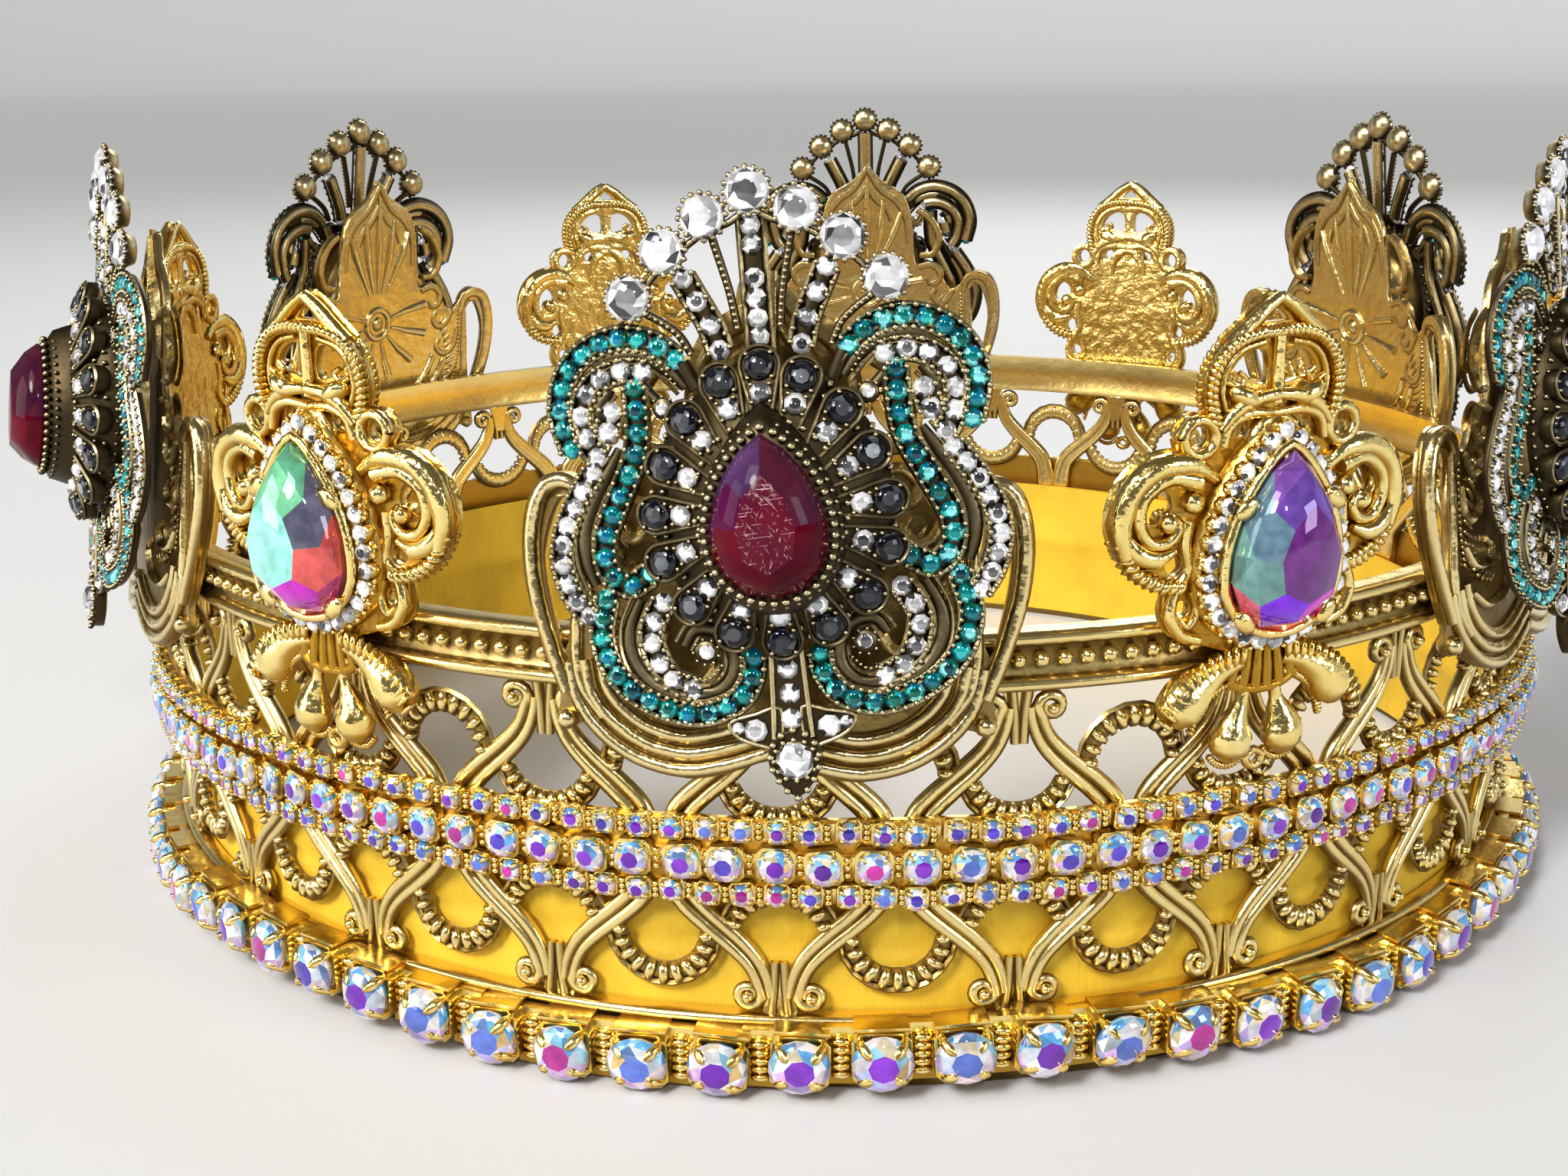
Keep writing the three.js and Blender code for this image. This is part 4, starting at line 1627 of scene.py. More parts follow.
# ---------------------------------------------------------------- fleurs
@dataclass
class Fleur:
    """A bright gold fleur that clasps the rail: an arched point, side scrolls, leaves and drops,
    and a pear stone in a halo of clear stones."""

    bend_r: float = 92.0
    back_r: float = FRAME_R + 0.2
    face_r: float = 92.5
    stone: PearJewel = field(
        default_factory=lambda: PearJewel(Pear(6.1, 8.6, -8.8, -3.1), 95.1, 99.5)
    )
    stone_z: float = 55.5
    halo: Pear = Pear(7.8, 10.3, -10.1, -3.3)
    halo_stones: int = 30
    edge: tuple[Point, ...] = (
        (0, 78.2), (1.8, 76.8), (3.8, 75.3), (6.2, 73.6), (7.6, 71.0), (7.6, 68.6), (7.0, 66.9),
        (9.2, 67.4), (10.6, 65.6), (9.8, 63.9), (12.6, 63.8), (15.8, 61.6), (17.0, 57.6),
        (16.0, 54.2), (13.4, 51.6), (11.0, 50.8), (11.0, 48.4), (9.8, 46.2), (7.2, 45.2),
        (3.6, 44.0), (3.4, 40.0), (0, 39.8),
    )
    eyes: tuple[tuple[float, float, float], ...] = (  # round openings, with their radii
        (3.5, 65.9, 0.85), (8.3, 65.4, 1.15), (12.3, 59.1, 1.75), (10.0, 53.3, 1.05),
        (9.1, 48.9, 0.85),
    )
    pane: tuple[Point, ...] = (
        (0.95, 70.0), (0.95, 72.6), (2.4, 73.2), (4.2, 72.2), (4.9, 70.6), (2.8, 70.2)
    )
    slit: tuple[Point, ...] = ((15.4, 61.2), (15.0, 58.6), (15.4, 56.8), (16.0, 57.8), (16.0, 60.0))
    tip: tuple[Point, ...] = ((0, 77.1), (-1.5, 75.7), (1.5, 75.7))
    arch: tuple[Point, ...] = (
        (6.7, 66.8), (7.3, 69.4), (6.8, 72.0), (5.1, 73.9), (2.6, 74.8), (0, 74.9)
    )
    crest_wires: tuple[Wire, ...] = (
        Wire(((5.5, 73.9), (3.5, 75.4), (1.6, 77.0), (0, 78.0)), (0.7, 0.75, 0.6), 0.2, 8),
        Wire(((5.3, 67.4), (6.0, 69.6), (5.5, 71.8), (4.0, 73.3), (1.6, 73.9)), 0.36, 0.2),
        Wire(((5.6, 70.4), (4.4, 69.9), (3.6, 70.6), (4.3, 71.2)), 0.3, 0.3),
        Wire(((6.2, 66.0), (4.7, 67.7), (2.6, 68.7), (0, 69.0)), (0.5, 0.85, 0.6), 0.7),
        Wire(((5.8, 64.4), (5.1, 66.5), (3.1, 67.4), (0, 67.2)), (0.5, 0.7, 0.5), 0.5),
        Wire(((3.0, 62.6), (2.6, 64.8), (1.2, 66.4), (0, 66.6)), (0.6, 0.8, 0.6), 0.4),
    )
    rim: tuple[Point, ...] = ((15.9, 55.8), (14.3, 53.1), (12.0, 51.7), (9.6, 51.3))
    side_wires: tuple[Wire, ...] = (
        Wire(
            ((6.4, 61.4), (9.0, 63.0), (12.4, 62.9), (15.0, 60.9), (16.0, 57.6), (15.3, 54.6)),
            (0.6, 1.15, 1.2, 1.15, 0.9), 0.45, 8,
        ),
        Wire(
            (
                (8.2, 61.3), (11.2, 61.9), (13.7, 60.3), (14.2, 57.8), (13.0, 55.8), (11.0, 55.8),
                (10.1, 57.3), (11.0, 58.4),
            ),
            (0.9, 0.75, 0.65, 0.6, 0.4), 0.6,
        ),
        Wire(
            ((15.8, 56.9), (14.4, 55.0), (12.4, 54.2), (10.4, 54.9)), (0.5, 1.05, 0.95, 0.35), 0.6,
            8,
        ),
        Wire(((9.0, 57.6), (9.2, 55.2), (8.7, 52.8), (9.8, 51.4)), 0.6, 0.3),
        Wire(((10.0, 51.2), (10.6, 48.8), (9.5, 46.6), (7.4, 45.8)), (0.5, 0.75, 0.6), 0.4),
        Wire(((8.3, 50.8), (7.7, 48.8), (8.5, 47.2), (9.5, 48.0)), (0.5, 0.45, 0.3), 0.4),
    )
    knobs: tuple[tuple[float, float, float, float], ...] = (
        (11.2, 57.6, 1.05, 0.6), (8.8, 59.4, 1.15, 0.7)
    )
    leaf: Wire = Wire(
        ((2.4, 43.0), (5.0, 42.3), (7.4, 40.9), (9.0, 39.0), (9.8, 37.4)),
        (0.9, 1.25, 1.9, 2.5, 2.5, 1.2), 0.2, 10, 0.85,
    )
    drop: Wire = Wire(
        ((1.7, 40.4), (2.2, 38.4), (2.9, 36.3), (3.1, 34.4), (3.1, 32.9)),
        (0.65, 0.7, 1.5, 2.3, 2.1, 0.8), 0.3, 10, 0.85,
    )
    hook: Wire = Wire(((0, 33.6), (0.9, 33.0), (0.8, 32.2), (0, 31.8)), 0.45, 0)
    neck_wires: tuple[Wire, ...] = (
        Wire(((0.5, 44.6), (0.6, 42.4), (0.7, 40.2)), (0.4, 0.6, 0.62), 0.4, 8),
        Wire(((1.6, 44.6), (1.9, 42.4), (2.2, 40.4)), (0.4, 0.6, 0.62), 0.4, 8),
        Wire(((2.7, 44.4), (3.2, 42.6), (3.6, 41.2)), (0.4, 0.6, 0.62), 0.4, 8),
        Wire(((0, 40.1), (1.6, 40.2), (3.0, 40.7), (4.0, 41.4)), 0.55, 0.45, steps=5),
    )
    claws: tuple[tuple[float, float, float], ...] = (  # places of the flat claws, and their turns
        (4.9, 3.6, -40), (-4.9, 3.6, 220), (4.6, -7.4, 50), (-4.6, -7.4, 130),
    )

    def plate(self) -> Stock:
        """The plate behind the relief, with its openings."""
        holes = [
            Route.curl((side * u, z), (r, r), (0, 330), 12)
            for u, z, r in self.eyes
            for side in (1, -1)
        ]
        pane, slit = Route.through(self.pane, 3, closed=True), Route(self.slit)
        holes += [pane, pane.mirrored(), slit, slit.mirrored(), Route(self.tip)]
        edge = Route(sawn(np.array(self.edge)))
        plate = Bench.plate(edge, self.back_r, self.face_r, holes, 0.12, PLATE_COLUMN)
        return plate.shaded_and_grimed(0.85, 0.3)

    def rope(self, route: Route, radius: float, out: float, skew: float = 35) -> Stock:
        """A twisted rope along a route."""
        strand = Bench.ball(radius, 6, 4, (0.55, 1.05, 1.05)).shaded_and_grimed(0.2, 1)
        return row(strand, route, max(3, int(route.length() / (radius * 0.78))), out, skew)

    def crest(self) -> list[Stock]:
        """The right half of the arched point: rope, tip, bulb, shell leaves and ring."""
        face = self.face_r
        bulb = Bench.ball(1, 8, 6, (2.0, 1.4, 1.15)).moved(
            Matrix.Rotation(math.radians(-28), 4, "Y")
        )
        return [
            self.rope(Route.eased(self.arch), 0.78, face + 0.5),
            bulb.shifted(3.7, 68.9, face + 0.3),
            Bench.wire(Route.curl((8.2, 65.4), (1.75, 1.75), (0, 360), 13), 0.6, face + 0.35, 6),
            *(wire.laid(face) for wire in self.crest_wires),
        ]

    def side(self) -> list[Stock]:
        """The right side scroll and the small loop under it."""
        face = self.face_r
        return [
            self.rope(Route.eased(self.rim), 0.95, face + 0.35, 20),
            *(
                Bench.ball(radius, 8, 4).shifted(u, z, face + rise)
                for u, z, radius, rise in self.knobs
            ),
            *(wire.laid(face) for wire in self.side_wires),
        ]

    def foot(self) -> list[Stock]:
        """The right half of what hangs over the rail: ribs, kidney leaf and drop."""
        face = self.face_r
        leaf = Route.eased(self.leaf.knots)
        ridge = Bench.ball(1, 6, 5, (0.3, 0.7, 1.15)).shaded_and_grimed(0.3, 1)
        return [
            *(wire.laid(face) for wire in (self.leaf, self.drop, self.hook)),
            row(ridge, leaf.beside(1.0, 1.5), 13, (face + 0.9, face + 1.5), 12),
            self.rope(leaf.beside(-1.5, -2.3), 0.5, face + 0.25, 30),
            self.rope(Route.curl((3.1, 34.6), (2.3, 2.3), (-150, -30), 12), 0.42, face - 0.1, 0),
        ]

    def neck(self) -> list[Stock]:
        """The right half of the fluted neck between the halo and the leaves."""
        studs = [Bench.ball(0.42, 6, 4).shifted(x, 44.5, self.face_r + 1.1) for x in (0.9, 2.6)]
        return [*(wire.laid(self.face_r) for wire in self.neck_wires), *studs]

    def settings(self) -> Stock:
        """The halo's collets, the pear stone's rim and its four flat claws."""
        seat = self.stone.seat_r
        places = self.halo.route(self.halo_stones).points
        base = Bench.rings([
            (self.halo.route(48, 1.12).points, self.face_r - 0.4),
            (self.halo.route(48, 1.10).points, seat - 1.4),
            (self.stone.shape.route(48, 1.02).points, seat - 0.4),
        ])
        claw = Bench.ball(1, 8, 5, (1.5, 0.4, 0.95))
        claws = [
            claw.moved(Matrix.Rotation(math.radians(-turn), 4, "Y")).shifted(u, z, seat + 1.15)
            for u, z, turn in self.claws
        ]
        collet = Bench.ball(1.0, 8, 4, (1, 0.9, 1)).shaded_and_grimed(0.1, 0.8)
        return pile([
            base.shaded_and_grimed(0.1, 0.5),
            row(collet, Route(np.vstack([places, places[:1]])), self.halo_stones + 1, seat - 1.15),
            row(Bench.ball(0.3, 5, 3), self.halo.route(48, 1.10), 48, seat - 0.7),
            row(Bench.ball(0.28, 5, 3), self.halo.route(40, 0.92), 40, seat - 0.25),
            Bench.wire(self.stone.shape.route(40, 1.06), 0.5, seat + 0.3, 6, closed=True),
            *claws,
        ]).shifted(up=self.stone_z)

    def build(self, shop: Workshop, cutter: Cutter) -> None:
        """Makes the six fleurs, each with its halo and its pear stone."""
        above = pile([*self.crest(), *self.side()]).shaded_and_grimed(0.05, 1.1)
        foot = pile(self.foot())
        foot = pile([foot.shaded_and_grimed(0.05, 1.1), pile(self.neck()).shaded_and_grimed(-0.5, 0.55)])
        half = pile([above, foot, echoed(above, self.face_r, self.back_r)])
        rib = Bench.wire(Route([(0, 68.2), (0, 75.2)]), 0.6, self.face_r + 0.45)
        metal = pile([self.plate(), half, half.mirrored(), rib, self.settings()])
        stone, seat = self.stone.cut(0.55, 0.84), self.stone.seat_r
        places = self.halo.route(self.halo_stones).points
        for i in range(ORNAMENTS):
            turn = (i + 0.5) * 360 / ORNAMENTS
            halo = [
                cutter.stone(Glass.CLEAR, 0.94).shifted(u, z + self.stone_z, seat - 0.3)
                for u, z in places
            ]
            gem = self.stone.wheel(stone, cutter, i).shifted(up=self.stone_z).bent(turn, seat)
            gold = metal.bent(turn, self.bend_r)
            shop.fit(f"fleur_gold_{i + 1}", gold, BRIGHT_GOLD, [f"fleur_{i + 1}"])
            shop.fit(f"fleur_halo_{i + 1}", pile(halo).bent(turn, seat), CLEAR)
            shop.fit(f"aurora_pear_{i + 1}", gem, PEAR_GLASS, [f"pear_stone_{i + 1}"])


# ---------------------------------------------------------------- medallions
@dataclass
class MedalMount:
    """The bright gold mount behind a brooch: a ribbed lobe, two hooked arms and a leafy plate."""

    bend_r: float = 92.0
    face_r: float = 92.2
    edge: tuple[Point, ...] = (
        (0, 20.8), (2.4, 18.4), (6.6, 15.6), (8.2, 10.6), (8.8, 3.4), (12.5, 2.6), (15.2, -1.0),
        (17.2, 0.2), (18.2, 1.8), (20.4, 2.4), (22.7, 1.2), (24.0, -3.4), (23.6, -9.2),
        (21.8, -15.2), (20.7, -18.6), (21.0, -21.0), (20.0, -22.2), (18.2, -21.4), (15.9, -23.4),
        (12.1, -25.4), (8, -26.3), (4, -25.6), (0, -24.3),
    )
    slot: tuple[Point, ...] = (
        (18.4, -2.0), (20.0, 0.2), (21.4, -1.8), (22.2, -5.4), (21.6, -10.0), (20.2, -14.6),
        (19.3, -10), (19.2, -6),
    )
    lobe: tuple[Point, ...] = (
        (19.8, -15.6), (18.9, -19.2), (16.6, -22.2), (12.9, -24.6), (8.4, -25.6), (4.2, -24.9),
        (0, -23.5),
    )
    rib_pitch: float = 1.6
    arms: tuple[Wire, ...] = (
        Wire(
            (
                (17.7, -1.6), (18.4, 0.8), (20.2, 1.7), (22.2, 0.6), (23.3, -3.4), (23.0, -8.6),
                (21.4, -14.2), (19.8, -18.4),
            ),
            (0.5, 0.9, 1.0, 0.9, 0.8), 0.1,
        ),
        Wire(
            ((18.2, -0.6), (18.4, -4.6), (18.6, -9.6), (18.9, -14.0), (18.4, -17.6), (16.2, -20.6)),
            (0.5, 0.75, 0.7), 0,
        ),
    )
    beading: tuple[Point, ...] = ((17.2, -2), (17.4, -8), (16.6, -13))
    lines: tuple[tuple[Point, ...], ...] = (
        ((9.4, 2.6), (11.6, 3.2), (13.2, 2.0), (13.0, 0.2), (11.6, -0.2), (11.0, 0.9)),
        ((15.8, -1.2), (14.6, -3.2), (13.0, -3.6), (12.0, -2.4), (12.6, -1.2)),
        ((17.0, -4.4), (16.2, -7.4), (14.2, -8.4), (12.8, -7.2), (13.4, -5.8)),
        ((16.6, -11), (14.4, -13.4), (11.4, -13.8), (10.2, -12.2), (11.4, -11.2)),
        ((15.2, -16.2), (11.4, -18.4), (7.4, -18.0), (5.4, -15.6), (6.6, -14.2)),
        ((0, 20.2), (2.4, 16.6), (5.2, 14.6), (7.0, 11.4), (7.4, 7)),
        ((0, 17.2), (1.6, 14.8), (3.4, 13.4), (4.4, 11)),
        ((9.0, 13.0), (11.4, 11.4), (13.0, 8.0), (12.0, 5.2), (9.6, 4.8)),
    )
    leaves: tuple[Point, ...] = (
        (10.2, -15.4), (13.6, -14.2), (15.6, -10.8), (15.2, -6.6), (13.6, -2.8)
    )

    def plate(self) -> Stock:
        """The plate under the ribs and swirls."""
        outline = Route.through(sawn(np.array(self.edge)), 3, closed=True)
        slot = Route.through(self.slot, 3, closed=True)
        holes = [slot, slot.mirrored()]
        plate = Bench.plate(outline, FRAME_R, self.face_r, holes, 0.12, PLATE_COLUMN)
        return plate.shaded_and_grimed(0.85, 0.25)

    def ribs(self) -> list[Stock]:
        """The right half of the three ribs along the lobe, and the hooked arm above them."""
        lobe, face = Route.eased(self.lobe), self.face_r
        return [
            *(
                Bench.wire(lobe.beside(-0.2 - self.rib_pitch * i), 0.78, face + 0.05, 6)
                for i in range(3)
            ),
            *(arm.laid(face) for arm in self.arms),
            Bench.ball(1.1, 8, 4).shifted(19.9, -21.0, face + 0.2),
            row(Bench.ball(0.34, 5, 3), Route.through(self.beading), 17, face + 0.1),
        ]

    def swirls(self) -> list[Stock]:
        """The right half of the relief that shows through the brooch."""
        vein = Bench.ball(0.5, 6, 3, (0.6, 0.8, 2.4)).shaded_and_grimed(0.3, 1)
        return [
            *(Wire(line, (0.5, 0.62, 0.4), 0.1, 4).laid(self.face_r) for line in self.lines),
            row(vein, Route.through(self.leaves), 16, self.face_r + 0.1, 35),
        ]

    def rosette(self) -> Stock:
        """The low relief on the back: ribs fanned above a row of petals, and the rivet's head."""
        back = FRAME_R + 0.05
        rib = (0.3, 0.55, 0.75, 0.45)
        routes = [
            (Route.eased([(x * 0.3, 3.0), (x * 0.75, 8.5), (x, top)]), rib)
            for x, top in ((0, 18.5), (3.0, 14.8), (-3.0, 14.8), (6.2, 12.6), (-6.2, 12.6))
        ]
        for turn in range(165, 376, 30):
            c, s = math.cos(math.radians(turn)), math.sin(math.radians(turn))
            petal = [(3.2 * c, 3.2 * s - 2), (6.4 * c, 6.4 * s - 2), (10.5 * c, 9.5 * s - 2)]
            routes.append((Route(petal), rib[:3]))
        routes += [(Route.curl((0, -4), (r, r), (200, 340), 16), 0.6) for r in (13.0, 15.4)]
        routes.append((Route.curl((0, -2), (2.4, 2.4), (0, 360), 17), 0.6))
        rivet = Bench.ball(1, 10, 6, (1.3, 0.6, 1.3)).shifted(0, -2, back)
        return pile([*(Bench.wire(route, radius, back, 6) for route, radius in routes), rivet])

    def build(self, shop: Workshop) -> None:
        """Makes the six mounts."""
        half = pile([*self.ribs(), *self.swirls()]).shaded_and_grimed(0.05, 1.1)
        half = pile([half, echoed(half, self.face_r, FRAME_R)])
        spine = Bench.wire(Route([(0, 21.0), (0, 8)]), 0.45, self.face_r + 0.1, 6)
        metal = pile([
            self.plate(), half, half.mirrored(), spine, self.rosette()
        ]).shifted(up=MEDAL_Z)
        bent = metal.bent(0, self.bend_r)
        for i in range(ORNAMENTS):
            shop.fit(
                f"medal_mount_{i + 1}", leaning(bent, i / ORNAMENTS), MOUNT_GOLD, [f"frame_{i + 1}"]
            )


def sides(across: float) -> tuple[int, ...]:
    """Right and left, or only the one for something on the middle line."""
    return (1, -1) if across else (1,)


@dataclass(frozen=True)
class Pave:
    """A line of stones along a scroll, on the right half of a brooch."""

    glass: Glass
    knots: tuple[Point, ...]
    count: int
    radius: float = 0.98
    level: float = 94.3


@dataclass
class Brooch:
    """An antiqued brooch: a fan of clear stones, scrolls of teal and clear ones, petals with black
    ones, and a ruby."""

    bend_r: float = 97.5
    level: float = 94.3
    trim: tuple[float, float, float] = (0.985, 1.0, 0.975)
    rolls: tuple[float, ...] = (4.9, -1.2, 0.8, -0.6, 1.5, -0.9)
    strays: tuple[float, ...] = (0.6, -0.2, 0.1, 0.3, -0.3, 0.2)  # how far each sits to one side
    ruby: PearJewel = field(
        default_factory=lambda: PearJewel(Pear(4.88, 7.4, -7.3, -1.7), 100.8, 104.4)
    )
    fan: tuple[Point, ...] = ((0, 28.6), (4.2, 26.7), (8.1, 23.9), (11.6, 20.0))
    lines: tuple[Pave, ...] = (
        Pave(
            Glass.TEAL,
            (
                (7.9, 14.2), (9.9, 15.8), (12.9, 16.5), (16.1, 15.6), (18.4, 13.4), (19.3, 10.2),
                (18.5, 6.7),
            ),
            11,
        ),
        Pave(
            Glass.CLEAR,
            (
                (11.0, 13.3), (12.8, 13.6), (14.8, 13.1), (16.4, 11.8), (17.2, 9.8), (16.9, 7.4),
                (16.0, 5.8),
            ),
            7,
        ),
        Pave(Glass.CLEAR, ((14.3, 9.9), (14.8, 8.0)), 2, 1.05),
        Pave(
            Glass.CLEAR,
            (
                (16.6, 4.3), (18.0, 2.4), (19.1, 0.6), (20.0, -1.4), (20.4, -4.0), (19.6, -7.0),
                (18.2, -9.0),
            ),
            9,
        ),
        Pave(
            Glass.TEAL,
            (
                (11.9, 11.9), (12.0, 7.6), (12.7, 5.0), (14.5, 1.4), (16.0, -1.9), (15.9, -4.8),
                (14.1, -6.3), (12.0, -5.3),
            ),
            12,
        ),
        Pave(
            Glass.TEAL,
            (
                (16.4, -7.4), (17.2, -11.2), (15.9, -14.8), (12.8, -17.4), (8.6, -18.7),
                (5.0, -17.7), (3.4, -15.6), (3.1, -13.6),
            ),
            14,
        ),
        Pave(
            Glass.CLEAR,
            ((11.0, -8.0), (12.4, -10.6), (12.1, -13.2), (10.8, -15.3), (8.9, -16.3)),
            6,
        ),
        Pave(Glass.CLEAR, ((3.7, 14.7), (4.35, 17.0), (5.4, 19.2), (6.5, 21.4)), 4),
    )
    bands: tuple[tuple[Point, ...], ...] = (
        ((7.2, 11.6), (9.0, 13.6), (11.2, 14.9), (13.6, 15.0), (15.8, 14.2)),
        ((13.9, 6.4), (15.3, 4.2), (16.9, 1.6), (18.0, -1.2), (18.1, -4.0), (17.4, -6.2)),
        ((13.2, -7.6), (14.5, -10.4), (14.4, -13.2), (12.8, -15.6), (10.2, -17.0), (7.2, -16.9)),
        (
            (8.9, -16.6), (6.6, -16.6), (5.0, -15.0), (5.0, -12.6), (6.4, -10.9), (8.3, -10.8),
            (9.4, -12.2),
        ),
        ((14.2, 12.0), (15.4, 10.6), (15.6, 8.6)),
    )
    grains: tuple[tuple[tuple[Point, ...], int], ...] = (  # rows of grains, and how many each has
        (((8.0, 12.0), (9.6, 13.9), (12.0, 14.6), (14.6, 14.2)), 14),
        (((9.6, -14.8), (7.4, -15.4), (6.0, -14.2)), 9),
    )
    cups: tuple[tuple[Point, float, int], ...] = (  # single cups, with their radii and beads
        ((7.3, -12.8), 1.2, 9), ((9.3, 9.9), 1.05, 8),
    )
    twigs: tuple[tuple[tuple[Point, ...], float, float], ...] = (  # with radii and brightness
        (((9.3, 9.9), (10.6, 11.2), (11.4, 12.2)), 0.6, 0.4),
        (((10.6, -5.0), (12.6, -5.8), (14.6, -7.2)), 0.7, 0.3),
        (((7.4, 13.8), (6.2, 11.4)), 0.8, 0.3),
    )
    arches: tuple[tuple[Point, ...], ...] = (  # wires between the fan's cups
        ((0.8, 26.6), (2.1, 25.9), (3.4, 25.6)),
        ((4.9, 24.9), (6.1, 24.1), (7.0, 22.9)),
        ((9.0, 22.0), (9.9, 21.0), (10.6, 19.2)),
    )
    stalks: tuple[tuple[Point, ...], ...] = (  # beaded wires that carry the fan
        ((3.6, 24.8), (3.0, 22.4), (2.4, 19.8), (1.95, 16.6)),
        ((10.4, 18.6), (8.8, 17.6), (7.4, 16.4), (6.4, 14.6)),
    )
    petals: tuple[Point, ...] = (
        (0, 13.2), (3.6, 11.9), (6.9, 8.8), (9.1, 4.8), (10.3, 0.4), (10.0, -4.0), (7.8, -8.2),
        (4.2, -10.9), (0, -11.9),
    )
    petal_step: float = 2.45  # from a petal's black stone in to its clear one
    centre: Point = (0, 0.4)  # the middle of the flower
    skirt: tuple[tuple[float, float, float], ...] = (  # half its width and height, and how far out
        (8.2, 9.8, 90.3), (8.2, 9.8, 93.0), (11.0, 12.6, 93.6), (10.9, 12.6, 95.6),
        (8.0, 9.6, 97.3), (4.6, 6.2, 98.9),
    )
    hoops: tuple[tuple[float, float, float, int], ...] = (  # the same, and how many beads each has
        (11.05, 12.65, 94.4, 56), (10.9, 12.5, 95.6, 56),
        (9.7, 11.4, 96.4, 50), (6.6, 8.1, 98.1, 36),
    )
    leaf: tuple[Point, ...] = (
        (1.0, -18.6), (3.2, -19.0), (5.8, -19.7), (5.0, -21.2), (2.8, -22.1), (1.2, -22.2)
    )
    drop: tuple[Point, ...] = (
        (0, -20.6), (-1.9, -21.6), (-2.5, -23.4), (-1.9, -25.2), (0, -27.1), (1.9, -25.2),
        (2.5, -23.4), (1.9, -21.6),
    )
    column: tuple[Point, ...] = ((-1.35, -12.4), (-1.7, -21.6), (1.7, -21.6), (1.35, -12.4))
    drop_z: float = -23.5
    singles: tuple[tuple[float, float, float], ...] = (  # single clear stones, and their radii
        (0, 25.6, 0.95), (0, 23.9, 0.95), (0, 20.9, 0.95), (0, 19.1, 0.95), (0, 17.3, 0.95),
        (0, 15.6, 0.95), (0, -14.9, 0.98), (0, -17.2, 1.0), (0, -19.6, 1.02), (7.3, -12.8, 1.05),
        (9.3, 9.9, 0.95), (3.4, -20.5, 1.12), (5.0, -20.2, 0.6),
    )

    @staticmethod
    def dome(across: np.ndarray, up: np.ndarray) -> np.ndarray:
        """How far out the petals lie."""
        return 99.9 - 3.3 * np.hypot(across / 11.6, (up - 0.4) / 13.4)

    def edges(
        self, route: Route, half: float, radius: float, rise: float, low: float
    ) -> list[Stock]:
        """A thin pale wire along either side of a route.

        Args:
            route: the middle of a channel or a band.
            half: how far each wire lies from it.
            radius: half the wires' thickness.
            rise: how far out they lie from the scrolls' level.
            low: how bright their sides are.

        Returns:
            Both wires.
        """
        return [
            Bench.wire(route.beside(side * half), radius, self.level + rise, 4).shaded_and_grimed(low, 1)
            for side in (1, -1)
        ]

    def bed(self, knots: Sequence[Point], half: float) -> list[Stock]:
        """A dark channel between two pale edge wires."""
        route = Route.eased(knots)
        channel = Bench.wire(route, half, self.level - 0.45, 6, flat=0.5).shaded_and_grimed(0.5, 0.2)
        return [channel, *self.edges(route, half, 0.24, 0.02, 0.2)]

    def scrolls(self) -> list[Stock]:
        """The right half of the scrolls' channels, bands, twigs and grains."""
        parts = []
        grip = Bench.ball(0.36, 4, 3).shaded_and_grimed(0.2, 1)
        for line in self.lines:
            half = line.radius + 0.12
            parts += self.bed(line.knots, half)
            for side in (1, -1):
                beside = Route.through(line.knots).beside(side * (half - 0.1))
                parts.append(row(grip, beside, 2 * line.count - 1, self.level + 0.25))
        for knots in self.bands:
            route = Route.eased(knots)
            band = Bench.wire(route, (0.5, 0.85, 0.85, 0.5), self.level - 0.25, 6, flat=0.7)
            parts += [band.shaded_and_grimed(0.1, 0.5), *self.edges(route, 0.85, 0.2, 0.1, 0.3)]
        grain = Bench.ball(0.22, 5, 3).shaded_and_grimed(0.2, 0.9)
        parts += [
            row(grain, Route.through(knots), count, self.level + 0.3)
            for knots, count in self.grains
        ]
        for place, radius, beads in self.cups:
            parts += self.bezel(place, radius, beads)
        for knots, radius, bright in self.twigs:
            twig = Bench.wire(Route.through(knots), radius, self.level - 0.4, 6)
            parts.append(twig.shaded_and_grimed(0, bright))
        return parts

    def bezel(self, place: Point, radius: float, beads: int) -> list[Stock]:
        """A round cup with a beaded rim."""
        ring = circle(16) * radius
        cup = Bench.rings([
            (ring * 0.75, self.level - 0.9), (ring, self.level + 0.3),
            (ring * 0.8, self.level + 0.55),
        ])
        brim = Route.curl((0, 0), (radius, radius), (0, 360), 25)
        rim = row(Bench.ball(0.165 * radius, 5, 3), brim, beads + 1, self.level + 0.5)
        return [cup.shaded_and_grimed(-0.1, 0.45).shifted(*place), rim.shaded_and_grimed(0.4, 1).shifted(*place)]

    def crest(self) -> list[Stock]:
        """The right half of the fan."""
        parts = []
        for place in self.fan[1:]:
            parts += self.bezel(place, 2.12, 16)
        parts += [
            Bench.wire(Route.through(knots), 0.38, self.level, 6).shaded_and_grimed(0.1, 0.9)
            for knots in self.arches
        ]
        for knots in self.stalks:
            stalk = Route.through(knots)
            parts += [
                Bench.wire(stalk, 0.42, self.level - 0.3, 6).shaded_and_grimed(0, 0.5),
                row(bead(0.3), stalk, int(stalk.length() / 0.55), self.level + 0.15),
            ]
        return parts

